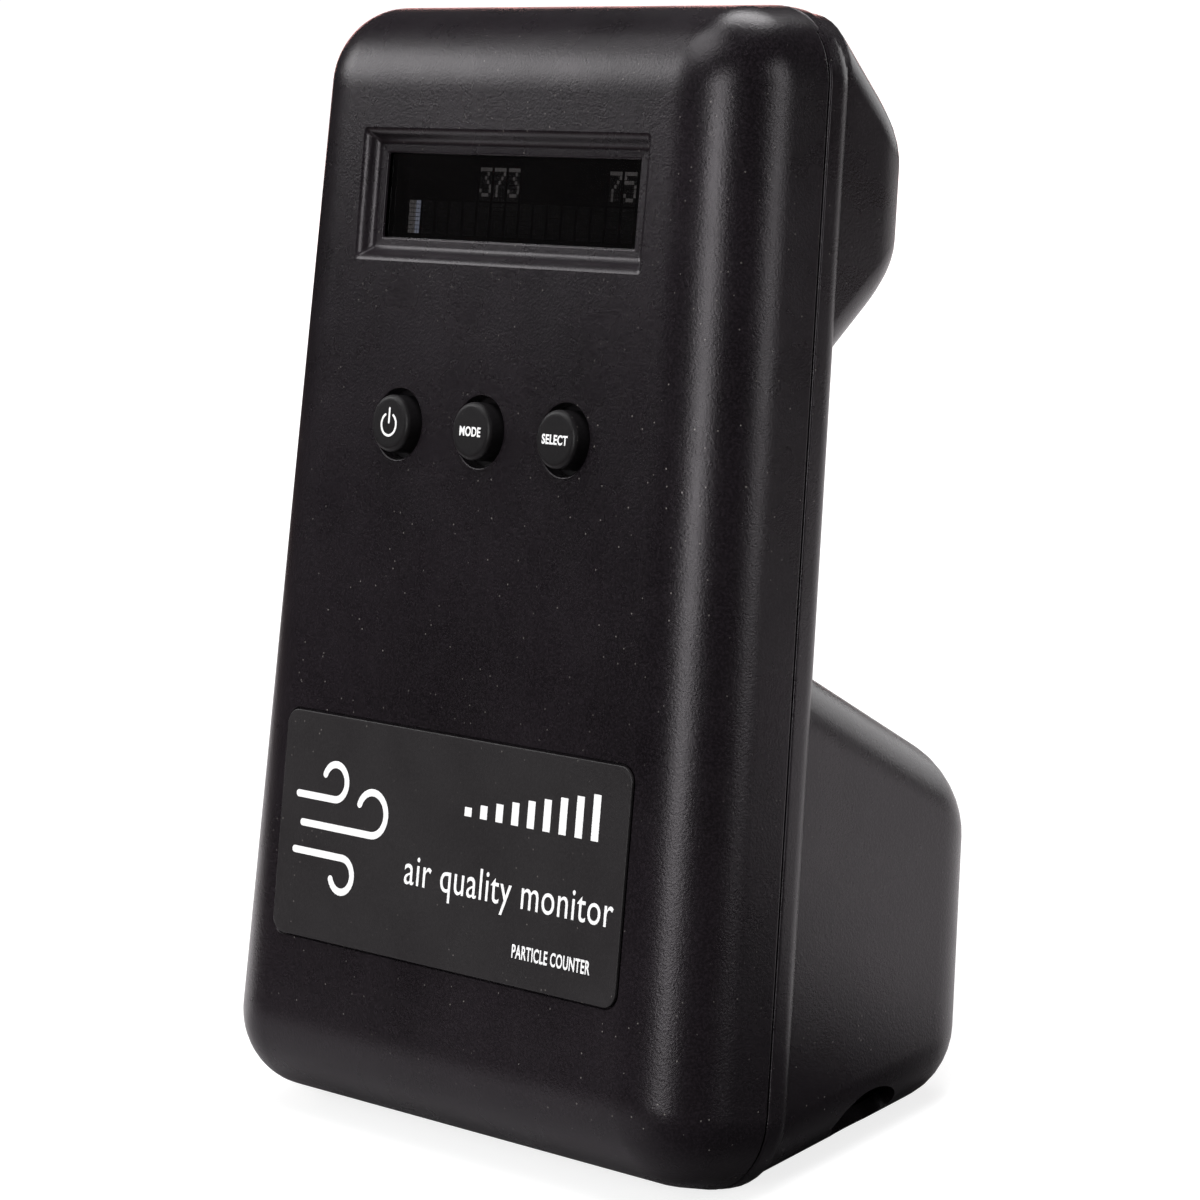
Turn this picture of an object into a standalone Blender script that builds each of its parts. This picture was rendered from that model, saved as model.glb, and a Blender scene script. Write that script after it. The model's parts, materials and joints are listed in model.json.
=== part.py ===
"""Desk-top air quality monitor: a leaning two-shell case with its display, buttons, boards,
light-scatter sensor and fan.

Everything is modelled in the case's own frame (X to the right, Y from the face to the rear,
Z up along the face, with zero at the bottom of the face) and hangs from one empty, case_frame,
which leans the case back until its sloped underside lies flat. Units are metres.
"""
import math

import bmesh
import bpy
from mathutils import Matrix, Vector

# ---------------------------------------------------------------- driving dimensions
HEIGHT = 0.1778                 # of the face, bottom to top
WIDTH_BOTTOM = 0.1136
WIDTH_TOP = 0.1022
CORNER_RADIUS = 0.0124          # of the outline seen from the front
FACE_RADIUS = 0.0135            # from the face round into the sides
WALL = 0.0024
FIT = 0.0003                    # gap between pieces that touch
LEAN = math.radians(16.5)       # how far the face leans back

SEAM_DEPTH = 0.0180             # where the front shell ends
WAIST_DEPTH = 0.0240            # back of the case between the two bulges
RIM_RADIUS = 0.0035
RIM_LIFT = 0.0001               # the rim stays just clear of what the case stands on
BULGE_INSET = 0.0006            # the bulges' sides stand in from the rim
BULGE_DRAFT = math.tan(math.radians(2.5))
BASE_START = 0.0195             # where the sloped underside begins
BASE_END = 0.0570               # and where it turns up into the back
BULGE_START = 0.0190            # the bulges begin inside the rim

LOWER_DEPTH = 0.0665
LOWER_TAPER = 0.0010            # the back draws in by this much at the top of the lower bulge
UPPER_DEPTH = 0.0405
LOWER_SIDE_RADIUS = 0.0100
UPPER_SIDE_RADIUS = 0.0085

PLATE_SIZE = (0.0814, 0.0361)
PLATE_HEIGHT = 0.0453           # centre of the name plate above the bottom
PLATE_THICKNESS = 0.0006
PLATE_RECESS = 0.0006

DISPLAY_HEIGHT = 0.1464         # centre of the display above the bottom
RECESS_SIZE = (0.0658, 0.0200)
WINDOW_SIZE = (0.0584, 0.0129)
RECESS_DEPTH = 0.0018
PANE_SIZE = (0.0630, 0.0175)
PANE_THICKNESS = 0.0010

BUTTON_HEIGHT = 0.1105
BUTTON_PITCH = 0.01946
BUTTON_HOLE_RADIUS = 0.0056
BUTTON_RADIUS = 0.0045
BUTTON_FLANGE_RADIUS = 0.0066
BUTTON_PROUD = 0.0019

BOARD_DEPTH = 0.0145            # front of the main board
BOARD_THICKNESS = 0.0016
BOARD_HALF_WIDTH = 0.0400
BOARD_BOTTOM = 0.0300
BOARD_TOP = 0.1360
BOARD_POSTS = ((-0.036, 0.036), (0.036, 0.036), (-0.036, 0.122), (0.036, 0.122))

LCD_BOARD_SIZE = (0.0800, 0.0360)
LCD_BOARD_DEPTH = 0.0097
LCD_FRAME_SIZE = (0.0712, 0.0252)
LCD_POSTS = ((-0.0375, 0.1309), (0.0375, 0.1309), (-0.0375, 0.1619), (0.0375, 0.1619))

CASE_POSTS = ((-0.0460, 0.0240), (0.0460, 0.0240), (-0.0400, 0.1690), (0.0400, 0.1690))
POST_RADIUS = 0.0034
WELL_RADIUS = 0.0048
WELL_BORE = 0.0034
WELL_SEAT = 0.0206

FAN_CENTRE = (0.0, 0.0366)      # across and up
FAN_SCREW_SEAT = 0.0646         # floor of the counterbores in the back
FAN_HALF = 0.0200
FAN_REAR = 0.0608
FAN_DEPTH = 0.0200
FAN_BORE = 0.0190
FAN_SCREW_OFFSET = 0.0160
ROTOR_RADIUS = 0.0176
ROTOR_HUB_RADIUS = 0.0105
BLADE_COUNT = 7

CHAMBER_FRONT = 0.0225
CHAMBER_BORE = 0.0145
LASER_DEPTH = 0.0320            # the beam's place between face and rear
JACK_PLACE = (-0.0370, 0.0400)
VENT_SLOT_WIDTH = 0.0024
OVAL_SIZE = (0.0095, 0.0145)    # across and along the edge
OVAL_PLACE = (0.0515, 0.0480, 0.0115)
OVAL_TILT = math.radians(-45)
OVAL_REACH = 0.0120             # how deep the opening is cut
SKIN = 0.0008                   # outer skin left over what runs up to it

# ---------------------------------------------------------------- a clean scene
for old in list(bpy.data.objects):
    bpy.data.objects.remove(old)

parts = bpy.data.collections.new("air_quality_monitor")
cutters = bpy.data.collections.new("cutters")
bpy.context.scene.collection.children.link(parts)
bpy.context.scene.collection.children.link(cutters)

lean_back = Matrix.Rotation(-LEAN, 4, "X")
base_middle = (BASE_START + BASE_END) / 2
base_anchor = Vector((0.0, base_middle, (base_middle - BASE_START) * math.tan(LEAN)))
case_frame = bpy.data.objects.new("case_frame", None)
case_frame.rotation_euler = (-LEAN, 0.0, 0.0)
case_frame.location = -(lean_back @ base_anchor)
parts.objects.link(case_frame)


def material(name, colour, roughness, metallic=0.0):
    made = bpy.data.materials.new(name)
    made.use_nodes = True
    shader = made.node_tree.nodes["Principled BSDF"]
    shader.inputs["Base Color"].default_value = (*colour, 1.0)
    shader.inputs["Roughness"].default_value = roughness
    shader.inputs["Metallic"].default_value = metallic
    return made


case_plastic = material("case_plastic", (0.018, 0.017, 0.018), 0.55)
button_plastic = material("button_plastic", (0.022, 0.021, 0.022), 0.5)
plate_film = material("plate_film", (0.035, 0.034, 0.036), 0.45)
clear_plastic = material("clear_plastic", (0.02, 0.02, 0.022), 0.08)
inner_plastic = material("inner_plastic", (0.02, 0.02, 0.02), 0.6)
board_green = material("board_green", (0.02, 0.12, 0.05), 0.5)
chip_black = material("chip_black", (0.015, 0.015, 0.016), 0.4)
steel = material("steel", (0.55, 0.55, 0.56), 0.3, 1.0)
aluminium = material("aluminium", (0.7, 0.7, 0.72), 0.35, 1.0)
brass = material("brass", (0.6, 0.42, 0.18), 0.3, 1.0)
nylon_white = material("nylon_white", (0.75, 0.73, 0.68), 0.5)
lcd_glass_grey = material("lcd_glass_grey", (0.01, 0.012, 0.014), 0.15)
lens_glass = material("lens_glass", (0.8, 0.85, 0.9), 0.05)
lead_insulation = material("lead_insulation", (0.25, 0.02, 0.02), 0.5)


# ---------------------------------------------------------------- modelling helpers
def part(name, mesh, finish):
    """Put a bmesh into the assembly as a named piece."""
    data = bpy.data.meshes.new(name)
    mesh.to_mesh(data)
    mesh.free()
    data.shade_smooth()
    data.set_sharp_from_angle(angle=math.radians(32))
    data.materials.append(finish)
    made = bpy.data.objects.new(name, data)
    parts.objects.link(made)
    made.parent = case_frame
    return made


def cutter(name, mesh):
    """Put a bmesh among the hidden cutting and joining shapes."""
    data = bpy.data.meshes.new(name)
    mesh.to_mesh(data)
    mesh.free()
    made = bpy.data.objects.new(name, data)
    cutters.objects.link(made)
    made.parent = case_frame
    made.hide_render = True
    made.display_type = "WIRE"
    return made


def combine(target, tool, operation, solver="EXACT"):
    step = target.modifiers.new(f"{operation}_{tool.name}".lower(), "BOOLEAN")
    step.operation = operation
    step.solver = solver
    step.object = tool


def add_box(mesh, low, high):
    """A box between two corners; returns its vertices."""
    low, high = Vector(low), Vector(high)
    size = high - low
    place = Matrix.Translation((low + high) / 2) @ Matrix.Diagonal((*size, 1.0))
    return bmesh.ops.create_cube(mesh, size=1.0, matrix=place)["verts"]


TURN = {"X": Matrix.Rotation(math.radians(90), 4, "Y"),
        "Y": Matrix.Rotation(math.radians(-90), 4, "X"),
        "Z": Matrix.Identity(4)}


def add_rod(mesh, radius, start, length, axis="Y", sides=16, end_radius=None):
    """A cylinder or cone from start, along +axis."""
    end_radius = radius if end_radius is None else end_radius
    middle = Matrix.Translation(Vector((0, 0, length / 2)))
    place = Matrix.Translation(Vector(start)) @ TURN[axis] @ middle
    return bmesh.ops.create_cone(mesh, cap_ends=True, segments=sides, radius1=radius,
                                 radius2=end_radius, depth=length, matrix=place)["verts"]


def turned_mesh(profile, x, z, sides=24):
    """A profile of (radius, depth) points, first and last on the axis, turned about Y."""
    mesh = bmesh.new()
    ring = [mesh.verts.new((radius, depth, 0.0)) for radius, depth in profile]
    edges = [mesh.edges.new(pair) for pair in zip(ring, ring[1:])]
    bmesh.ops.spin(mesh, geom=ring + edges, cent=(0, 0, 0), axis=(0, 1, 0),
                   angle=2 * math.pi, steps=sides)
    bmesh.ops.remove_doubles(mesh, verts=mesh.verts[:], dist=1e-6)
    bmesh.ops.recalc_face_normals(mesh, faces=mesh.faces[:])
    bmesh.ops.translate(mesh, verts=mesh.verts[:], vec=(x, 0.0, z))
    return mesh


def box_mesh(low, high):
    mesh = bmesh.new()
    add_box(mesh, low, high)
    return mesh


def rod_mesh(radius, start, length, axis="Y", sides=16):
    mesh = bmesh.new()
    add_rod(mesh, radius, start, length, axis, sides)
    return mesh


def bevel_edges(mesh, edges, radius, segments):
    bmesh.ops.bevel(mesh, geom=edges, offset=radius, segments=segments, profile=0.5,
                    affect="EDGES", offset_type="OFFSET", clamp_overlap=True)


def flat_at(edge, axis, value):
    return all(abs(vertex.co[axis] - value) < 1e-7 for vertex in edge.verts)


def rounded_plate(mesh, centre_height, size, radius, front, depth, segments=5):
    """A flat plate standing parallel to the face, with round corners."""
    half_width, half_height = size[0] / 2, size[1] / 2
    add_box(mesh, (-half_width, front, centre_height - half_height),
            (half_width, front + depth, centre_height + half_height))
    along_depth = [edge for edge in mesh.edges
                   if abs(edge.verts[0].co.y - edge.verts[1].co.y) > depth / 2]
    bevel_edges(mesh, along_depth, radius, segments)


def half_width_at(height):
    return (WIDTH_BOTTOM + (WIDTH_TOP - WIDTH_BOTTOM) * height / HEIGHT) / 2


def case_block(front, rear, inset, face_radius=0.0, rear_radius=0.0):
    """The tapered outline of the case between two depths, set in by inset."""
    mesh = bmesh.new()
    for vertex in add_box(mesh, (-1, front, inset), (1, rear, HEIGHT - inset)):
        side = 1 if vertex.co.x > 0 else -1
        vertex.co.x = side * (half_width_at(vertex.co.z) - inset)
    corners = [edge for edge in mesh.edges
               if abs(edge.verts[0].co.y - edge.verts[1].co.y) > (rear - front) / 2]
    bevel_edges(mesh, corners, CORNER_RADIUS - inset, 5)
    for depth, radius in ((front, face_radius), (rear, rear_radius)):
        if radius > 0:
            rim = [edge for edge in mesh.edges if flat_at(edge, 1, depth)]
            bevel_edges(mesh, rim, radius, 4)
    return mesh


def set_in(corners, inset):
    """Move each side of a convex outline inwards by inset."""
    count = len(corners)
    centre = Vector((sum(c[0] for c in corners), sum(c[1] for c in corners))) / count
    lines = []
    for index, (y, z, _radius) in enumerate(corners):
        following = Vector(corners[(index + 1) % count][:2])
        start = Vector((y, z))
        along = (following - start).normalized()
        inward = Vector((-along.y, along.x))
        if inward.dot(centre - start) < 0:
            inward = -inward
        lines.append((start + inward * inset, along))
    moved = []
    for index, (_y, _z, radius) in enumerate(corners):
        (first, along_first), (second, along_second) = lines[index - 1], lines[index]
        reach = (second - first).cross(along_second) / along_first.cross(along_second)
        point = first + along_first * reach
        moved.append((point.x, point.y, max(radius - inset, 0.0)))
    return moved


def rounded_outline(corners, steps):
    """Replace each corner that has a radius by an arc."""
    points = []
    for index, (y, z, radius) in enumerate(corners):
        corner = Vector((y, z))
        before = (Vector(corners[index - 1][:2]) - corner).normalized()
        after = (Vector(corners[(index + 1) % len(corners)][:2]) - corner).normalized()
        half = before.angle(after) / 2
        if radius <= 0:
            points.append(corner)
            continue
        centre = corner + (before + after).normalized() * (radius / math.sin(half))
        first = corner + before * (radius / math.tan(half)) - centre
        last = corner + after * (radius / math.tan(half)) - centre
        sweep = first.angle_signed(last)
        for step in range(steps + 1):
            turned = first.copy()
            turned.rotate(Matrix.Rotation(-sweep * step / steps, 2))
            points.append(centre + turned)
    return points


def add_bulge(mesh, corners, inset, side_radius):
    """A side profile carried across the case, drawn in towards the rear, with round sides."""
    verts = [mesh.verts.new((1.0, y, z)) for y, z in rounded_outline(set_in(corners, inset), 5)]
    far = mesh.faces.new(verts)
    extruded = bmesh.ops.extrude_face_region(mesh, geom=[far])["geom"]
    near_verts = [item for item in extruded if isinstance(item, bmesh.types.BMVert)]
    bmesh.ops.translate(mesh, verts=near_verts, vec=(-2.0, 0.0, 0.0))
    own = verts + near_verts
    for vertex in own:
        y, z = vertex.co.y, vertex.co.z
        half = half_width_at(z) - BULGE_INSET - inset - BULGE_DRAFT * (y - SEAM_DEPTH)
        vertex.co.x = math.copysign(half, vertex.co.x)
    own = set(own)
    front = min(vertex.co.y for vertex in own)
    side_edges = [edge for edge in mesh.edges
                  if edge.verts[0] in own and edge.verts[1] in own
                  and edge.verts[0].co.x * edge.verts[1].co.x > 0
                  and not flat_at(edge, 1, front)]
    bevel_edges(mesh, side_edges, side_radius - inset, 3)
    bmesh.ops.recalc_face_normals(mesh, faces=mesh.faces[:])


def base_height(depth):
    return (depth - BASE_START) * math.tan(LEAN)


# side profiles of the two bulges: depth, height and corner radius
LOWER_CORNERS = ((BULGE_START, base_height(BULGE_START), 0.0),
                 (LOWER_DEPTH, base_height(LOWER_DEPTH), 0.0120),
                 (LOWER_DEPTH - LOWER_TAPER, 0.0637, 0.0165), (BULGE_START, 0.0829, 0.0))
UPPER_CORNERS = ((BULGE_START, 0.1176, 0.0), (UPPER_DEPTH, 0.1388, 0.0120),
                 (UPPER_DEPTH, 0.1611, 0.0150), (BULGE_START, 0.1814, 0.0))


def bulges(inset):
    """Both bulges as one set of shapes, trimmed to the outline of the case."""
    mesh = bmesh.new()
    for corners, side_radius in ((LOWER_CORNERS, LOWER_SIDE_RADIUS),
                                 (UPPER_CORNERS, UPPER_SIDE_RADIUS)):
        add_bulge(mesh, corners, inset, side_radius)
    shape = cutter("bulges", mesh)
    outline = cutter("bulge_outline", case_block(0.0, 0.1, BULGE_INSET + inset))
    combine(shape, outline, "INTERSECT")
    return shape


# ---------------------------------------------------------------- front shell
front_shell = part("front_shell", case_block(0.0, SEAM_DEPTH, 0.0, face_radius=FACE_RADIUS),
                   case_plastic)
front_cavity = cutter("front_cavity", case_block(WALL, SEAM_DEPTH + 0.005, WALL,
                                                 face_radius=FACE_RADIUS - WALL))
combine(front_shell, front_cavity, "DIFFERENCE")

posts = bmesh.new()
for x, z in CASE_POSTS:
    add_rod(posts, POST_RADIUS, (x, 0.0, z), SEAM_DEPTH, sides=14)
for x, z in BOARD_POSTS:
    add_rod(posts, 0.0025, (x, 0.0, z), BOARD_DEPTH - FIT, sides=12)
for x, z in LCD_POSTS:
    add_rod(posts, 0.0022, (x, 0.0, z), LCD_BOARD_DEPTH - FIT, sides=12)
post_shape = cutter("front_posts", posts)
front_core = cutter("front_core", case_block(SKIN, SEAM_DEPTH + 0.005, SKIN,
                                             face_radius=FACE_RADIUS - SKIN))
combine(post_shape, front_core, "INTERSECT", "MANIFOLD")
combine(front_shell, post_shape, "UNION")

front_holes = bmesh.new()
for x, z in CASE_POSTS:
    add_rod(front_holes, 0.0016, (x, 0.0060, z), 0.02, sides=10)
for x, z in BOARD_POSTS:
    add_rod(front_holes, 0.0014, (x, 0.0065, z), 0.02, sides=10)
for x, z in LCD_POSTS:
    add_rod(front_holes, 0.0013, (x, 0.0045, z), 0.02, sides=10)
for index in (-1, 0, 1):
    add_rod(front_holes, BUTTON_HOLE_RADIUS, (index * BUTTON_PITCH, -0.001, BUTTON_HEIGHT),
            0.006, sides=24)
plate_recess = bmesh.new()
rounded_plate(plate_recess, PLATE_HEIGHT, (PLATE_SIZE[0] + 2 * FIT, PLATE_SIZE[1] + 2 * FIT),
              0.0028, -0.002, 0.002 + PLATE_RECESS)
combine(front_shell, cutter("plate_recess", plate_recess), "DIFFERENCE")
combine(front_shell, cutter("front_holes", front_holes), "DIFFERENCE")

# the display recess narrows from the face to the window, like a picture frame's bevel
recess = bmesh.new()
overshoot = 0.001
grow = 1 + overshoot / RECESS_DEPTH
for vertex in add_box(recess, (-1, -overshoot, -1), (1, RECESS_DEPTH, 1)):
    shut = vertex.co.y > 0
    for axis, outer, inner in ((0, RECESS_SIZE[0], WINDOW_SIZE[0]),
                               (2, RECESS_SIZE[1], WINDOW_SIZE[1])):
        reach = inner / 2 if shut else inner / 2 + (outer - inner) / 2 * grow
        vertex.co[axis] = math.copysign(reach, vertex.co[axis])
    vertex.co.z += DISPLAY_HEIGHT
combine(front_shell, cutter("display_recess", recess), "DIFFERENCE")
window_hole = box_mesh((-WINDOW_SIZE[0] / 2, 0.0005, DISPLAY_HEIGHT - WINDOW_SIZE[1] / 2),
                       (WINDOW_SIZE[0] / 2, 0.0060, DISPLAY_HEIGHT + WINDOW_SIZE[1] / 2))
combine(front_shell, cutter("window_hole", window_hole), "DIFFERENCE")

# ---------------------------------------------------------------- rear shell
REAR_START = SEAM_DEPTH + FIT
rear_shell = part("rear_shell", case_block(REAR_START, WAIST_DEPTH, 0.0,
                                           rear_radius=RIM_RADIUS), case_plastic)
under_rim = bmesh.new()
add_box(under_rim, (-0.1, -0.1, -0.05), (0.1, 0.1, RIM_LIFT))
bmesh.ops.rotate(under_rim, verts=under_rim.verts, matrix=Matrix.Rotation(LEAN, 3, "X"))
bmesh.ops.translate(under_rim, verts=under_rim.verts, vec=(0.0, BASE_START, 0.0))
combine(rear_shell, cutter("under_rim", under_rim), "DIFFERENCE")
combine(rear_shell, bulges(0.0), "UNION")
rim_cavity = cutter("rim_cavity", case_block(REAR_START - 0.005, WAIST_DEPTH - WALL, WALL,
                                             rear_radius=0.0012))
combine(rear_shell, rim_cavity, "DIFFERENCE")
combine(rear_shell, bulges(WALL), "DIFFERENCE")


# screw wells run from the seam to the back, trimmed to stay under the outer skin
wells = bmesh.new()
seats = bmesh.new()
bores = bmesh.new()
pilots = bmesh.new()
for x, z in CASE_POSTS:
    add_rod(wells, WELL_RADIUS, (x, REAR_START, z), 0.06, sides=12)
    add_rod(seats, WELL_RADIUS, (x, REAR_START, z), 0.0045, sides=12)
    add_rod(bores, WELL_BORE, (x, WELL_SEAT, z), 0.06, sides=12)
    add_rod(pilots, 0.0018, (x, 0.0, z), 0.03, sides=10)
well_shape = cutter("wells", wells)
combine(well_shape, bulges(SKIN), "INTERSECT")
combine(rear_shell, well_shape, "UNION")
combine(rear_shell, cutter("seats", seats), "UNION")

fan_x, fan_z = FAN_CENTRE
FAN_CORNERS = [(fan_x + side * FAN_SCREW_OFFSET, fan_z + rise * FAN_SCREW_OFFSET)
               for side in (-1, 1) for rise in (-1, 1)]
standoffs = bmesh.new()
for x, z in FAN_CORNERS:
    add_rod(standoffs, 0.0031, (x, FAN_REAR + FIT, z), 0.0031, sides=10)
    add_rod(pilots, 0.0018, (x, FAN_REAR - 0.001, z), 0.02, sides=10)
    add_rod(bores, 0.0032, (x, FAN_SCREW_SEAT, z), 0.01, sides=10)
combine(rear_shell, cutter("fan_standoffs", standoffs), "UNION")
combine(rear_shell, cutter("rear_bores", bores), "DIFFERENCE")
combine(rear_shell, cutter("rear_pilots", pilots), "DIFFERENCE")

# air comes in through the slots of the upper bulge and leaves behind the fan
slots = bmesh.new()
for index in range(-4, 5):
    x = index * 0.0070
    add_box(slots, (x - VENT_SLOT_WIDTH / 2, 0.0320, 0.1350), (x + VENT_SLOT_WIDTH / 2, 0.06, 0.1630))
for index in range(-3, 4):
    rise = index * 0.0045
    reach = math.sqrt(0.0160 ** 2 - rise ** 2)
    if abs(index) == 3:
        reach = 0.0075
    z = fan_z + rise
    add_box(slots, (-reach, LOWER_DEPTH - 0.006, z - VENT_SLOT_WIDTH / 2),
            (reach, LOWER_DEPTH + 0.01, z + VENT_SLOT_WIDTH / 2))
jack_x, jack_z = JACK_PLACE
add_rod(slots, 0.0040, (jack_x, LOWER_DEPTH - 0.006, jack_z), 0.02, sides=16)
combine(rear_shell, cutter("rear_slots", slots), "DIFFERENCE")

# one oval opening low on each side, across the edge between side and underside
for side in (-1, 1):
    oval = bmesh.new()
    add_rod(oval, 0.5, (0, 0, -0.5), 1.0, axis="Z", sides=18)
    bmesh.ops.scale(oval, verts=oval.verts, vec=(*OVAL_SIZE, OVAL_REACH))
    tilt = Matrix.Rotation(LEAN, 3, "X") @ Matrix.Rotation(side * OVAL_TILT, 3, "Y")
    bmesh.ops.rotate(oval, verts=oval.verts, matrix=tilt)
    bmesh.ops.translate(oval, verts=oval.verts, vec=(side * OVAL_PLACE[0], *OVAL_PLACE[1:]))
    combine(rear_shell, cutter("oval", oval), "DIFFERENCE")

# ---------------------------------------------------------------- face fittings
plate = bmesh.new()
rounded_plate(plate, PLATE_HEIGHT, PLATE_SIZE, 0.0025, PLATE_RECESS - FIT - PLATE_THICKNESS,
              PLATE_THICKNESS)
part("name_plate", plate, plate_film)

pane = bmesh.new()
rounded_plate(pane, DISPLAY_HEIGHT, PANE_SIZE, 0.0010, WALL + FIT, PANE_THICKNESS, segments=2)
part("display_window", pane, clear_plastic)

SWITCH_FRONT = 0.0110
BUTTON_NAMES = ("power", "mode", "select")
for index, word in enumerate(BUTTON_NAMES):
    x = (index - 1) * BUTTON_PITCH
    flange_front = WALL + FIT
    flange_back = flange_front + 0.0012
    stem_end = SWITCH_FRONT - 0.0017
    cap = turned_mesh(((0.0, -BUTTON_PROUD), (BUTTON_RADIUS - 0.0010, -BUTTON_PROUD),
                       (BUTTON_RADIUS - 0.0003, 0.0003 - BUTTON_PROUD),
                       (BUTTON_RADIUS, 0.0010 - BUTTON_PROUD), (BUTTON_RADIUS, flange_front),
                       (BUTTON_FLANGE_RADIUS, flange_front), (BUTTON_FLANGE_RADIUS, flange_back),
                       (0.0020, flange_back), (0.0020, stem_end), (0.0, stem_end)),
                      x, BUTTON_HEIGHT)
    part(f"{word}_button", cap, button_plastic)
    plunger = rod_mesh(0.0017, (x, SWITCH_FRONT - 0.0014, BUTTON_HEIGHT), 0.0028, sides=14)
    part(f"{word}_switch_plunger", plunger, chip_black)
    switch = part(f"{word}_switch", box_mesh(
        (x - 0.003, SWITCH_FRONT, BUTTON_HEIGHT - 0.003),
        (x + 0.003, BOARD_DEPTH - FIT, BUTTON_HEIGHT + 0.003)), chip_black)
    combine(switch, cutter("plunger_hole", rod_mesh(
        0.0020, (x, SWITCH_FRONT - 0.001, BUTTON_HEIGHT), 0.0033, sides=14)), "DIFFERENCE")

# ---------------------------------------------------------------- display module
lcd_low, lcd_high = DISPLAY_HEIGHT - LCD_FRAME_SIZE[1] / 2, DISPLAY_HEIGHT + LCD_FRAME_SIZE[1] / 2
frame_half = LCD_FRAME_SIZE[0] / 2
LCD_FRAME_FRONT = 0.0042
lcd_frame = part("lcd_frame", box_mesh((-frame_half, LCD_FRAME_FRONT, lcd_low),
                                       (frame_half, LCD_BOARD_DEPTH - FIT, lcd_high)), steel)
SHEET = 0.0005
hollow = bmesh.new()
add_box(hollow, (SHEET - frame_half, LCD_FRAME_FRONT + SHEET, lcd_low + SHEET),
        (frame_half - SHEET, LCD_BOARD_DEPTH + 0.01, lcd_high - SHEET))
combine(lcd_frame, cutter("lcd_hollow", hollow), "DIFFERENCE")
combine(lcd_frame, cutter("lcd_opening", box_mesh(
    (-0.0320, 0.0, DISPLAY_HEIGHT - 0.0082), (0.0320, 0.0060, DISPLAY_HEIGHT + 0.0082))),
    "DIFFERENCE")
glass_gap = SHEET + FIT
part("lcd_glass", box_mesh(
    (glass_gap - frame_half, LCD_FRAME_FRONT + glass_gap, lcd_low + glass_gap),
    (frame_half - glass_gap, LCD_FRAME_FRONT + 0.0042, lcd_high - glass_gap)), lcd_glass_grey)

lcd_board = part("lcd_board", box_mesh(
    (-LCD_BOARD_SIZE[0] / 2, LCD_BOARD_DEPTH, DISPLAY_HEIGHT - LCD_BOARD_SIZE[1] / 2),
    (LCD_BOARD_SIZE[0] / 2, LCD_BOARD_DEPTH + BOARD_THICKNESS,
     DISPLAY_HEIGHT + LCD_BOARD_SIZE[1] / 2)), board_green)
lcd_holes = bmesh.new()
for x, z in LCD_POSTS:
    add_rod(lcd_holes, 0.0014, (x, 0.0, z), 0.03, sides=10)
combine(lcd_board, cutter("lcd_holes", lcd_holes), "DIFFERENCE")
part("lcd_header", box_mesh((-0.0203, LCD_BOARD_DEPTH + BOARD_THICKNESS + FIT, 0.1300),
                            (0.0203, BOARD_DEPTH - FIT, 0.1325)), chip_black)

# ---------------------------------------------------------------- main board
main_board = part("main_board", box_mesh(
    (-BOARD_HALF_WIDTH, BOARD_DEPTH, BOARD_BOTTOM),
    (BOARD_HALF_WIDTH, BOARD_DEPTH + BOARD_THICKNESS, BOARD_TOP)), board_green)
board_holes = bmesh.new()
for x, z in BOARD_POSTS:
    add_rod(board_holes, 0.0015, (x, 0.0, z), 0.03, sides=10)
combine(main_board, cutter("board_holes", board_holes), "DIFFERENCE")

front_of_board = BOARD_DEPTH - FIT
part("microcontroller", box_mesh((-0.0178, 0.0104, 0.0740), (0.0178, front_of_board, 0.0812)),
     chip_black)
part("crystal", box_mesh((-0.0055, 0.0107, 0.0860), (0.0055, front_of_board, 0.0900)), steel)
part("voltage_regulator", box_mesh((0.0240, 0.0098, 0.0520), (0.0342, front_of_board, 0.0670)),
     chip_black)
for index, z in enumerate((0.0480, 0.0600)):
    part(f"capacitor_{index + 1}", rod_mesh(0.0033, (-0.0270, 0.0060, z),
                                            front_of_board - 0.0060), aluminium)

back_of_board = BOARD_DEPTH + BOARD_THICKNESS + FIT
CONNECTOR_DEPTH = 0.0050
CONNECTORS = {"fan": 0.0230, "laser": 0.0330, "detector": 0.0080, "power": -0.0300}
for word, x in CONNECTORS.items():
    part(f"{word}_connector", box_mesh(
        (x - 0.0036, back_of_board, 0.0665), (x + 0.0036, back_of_board + CONNECTOR_DEPTH, 0.0735)),
        nylon_white)

# ---------------------------------------------------------------- air sensor
part_low = (fan_x - FAN_HALF, CHAMBER_FRONT, fan_z - FAN_HALF)
CHAMBER_REAR = FAN_REAR - FAN_DEPTH - FIT
sensor_chamber = part("sensor_chamber", box_mesh(
    part_low, (fan_x + FAN_HALF, CHAMBER_REAR, fan_z + FAN_HALF)), inner_plastic)
ducts = bmesh.new()
add_rod(ducts, CHAMBER_BORE, (fan_x, 0.0, fan_z), 0.1, sides=28)
combine(sensor_chamber, cutter("chamber_bore", ducts), "DIFFERENCE")
SOCKET_START = FAN_HALF - 0.0030
sockets = bmesh.new()
add_rod(sockets, 0.0033, (SOCKET_START, LASER_DEPTH, fan_z), 0.02, axis="X")
add_rod(sockets, 0.0033, (-SOCKET_START - 0.02, LASER_DEPTH, fan_z), 0.02, axis="X")
for x, z in FAN_CORNERS:
    add_rod(sockets, 0.0018, (x, 0.0300, z), 0.02, sides=10)
combine(sensor_chamber, cutter("sockets", sockets), "DIFFERENCE")
beam = rod_mesh(0.0015, (-0.019, LASER_DEPTH, fan_z), 0.038, axis="X", sides=12)
combine(sensor_chamber, cutter("beam_path", beam), "DIFFERENCE")
eye_hole = rod_mesh(0.0028, (fan_x, LASER_DEPTH, fan_z), 0.03, axis="Z")
combine(sensor_chamber, cutter("eye_hole", eye_hole), "DIFFERENCE")

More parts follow.
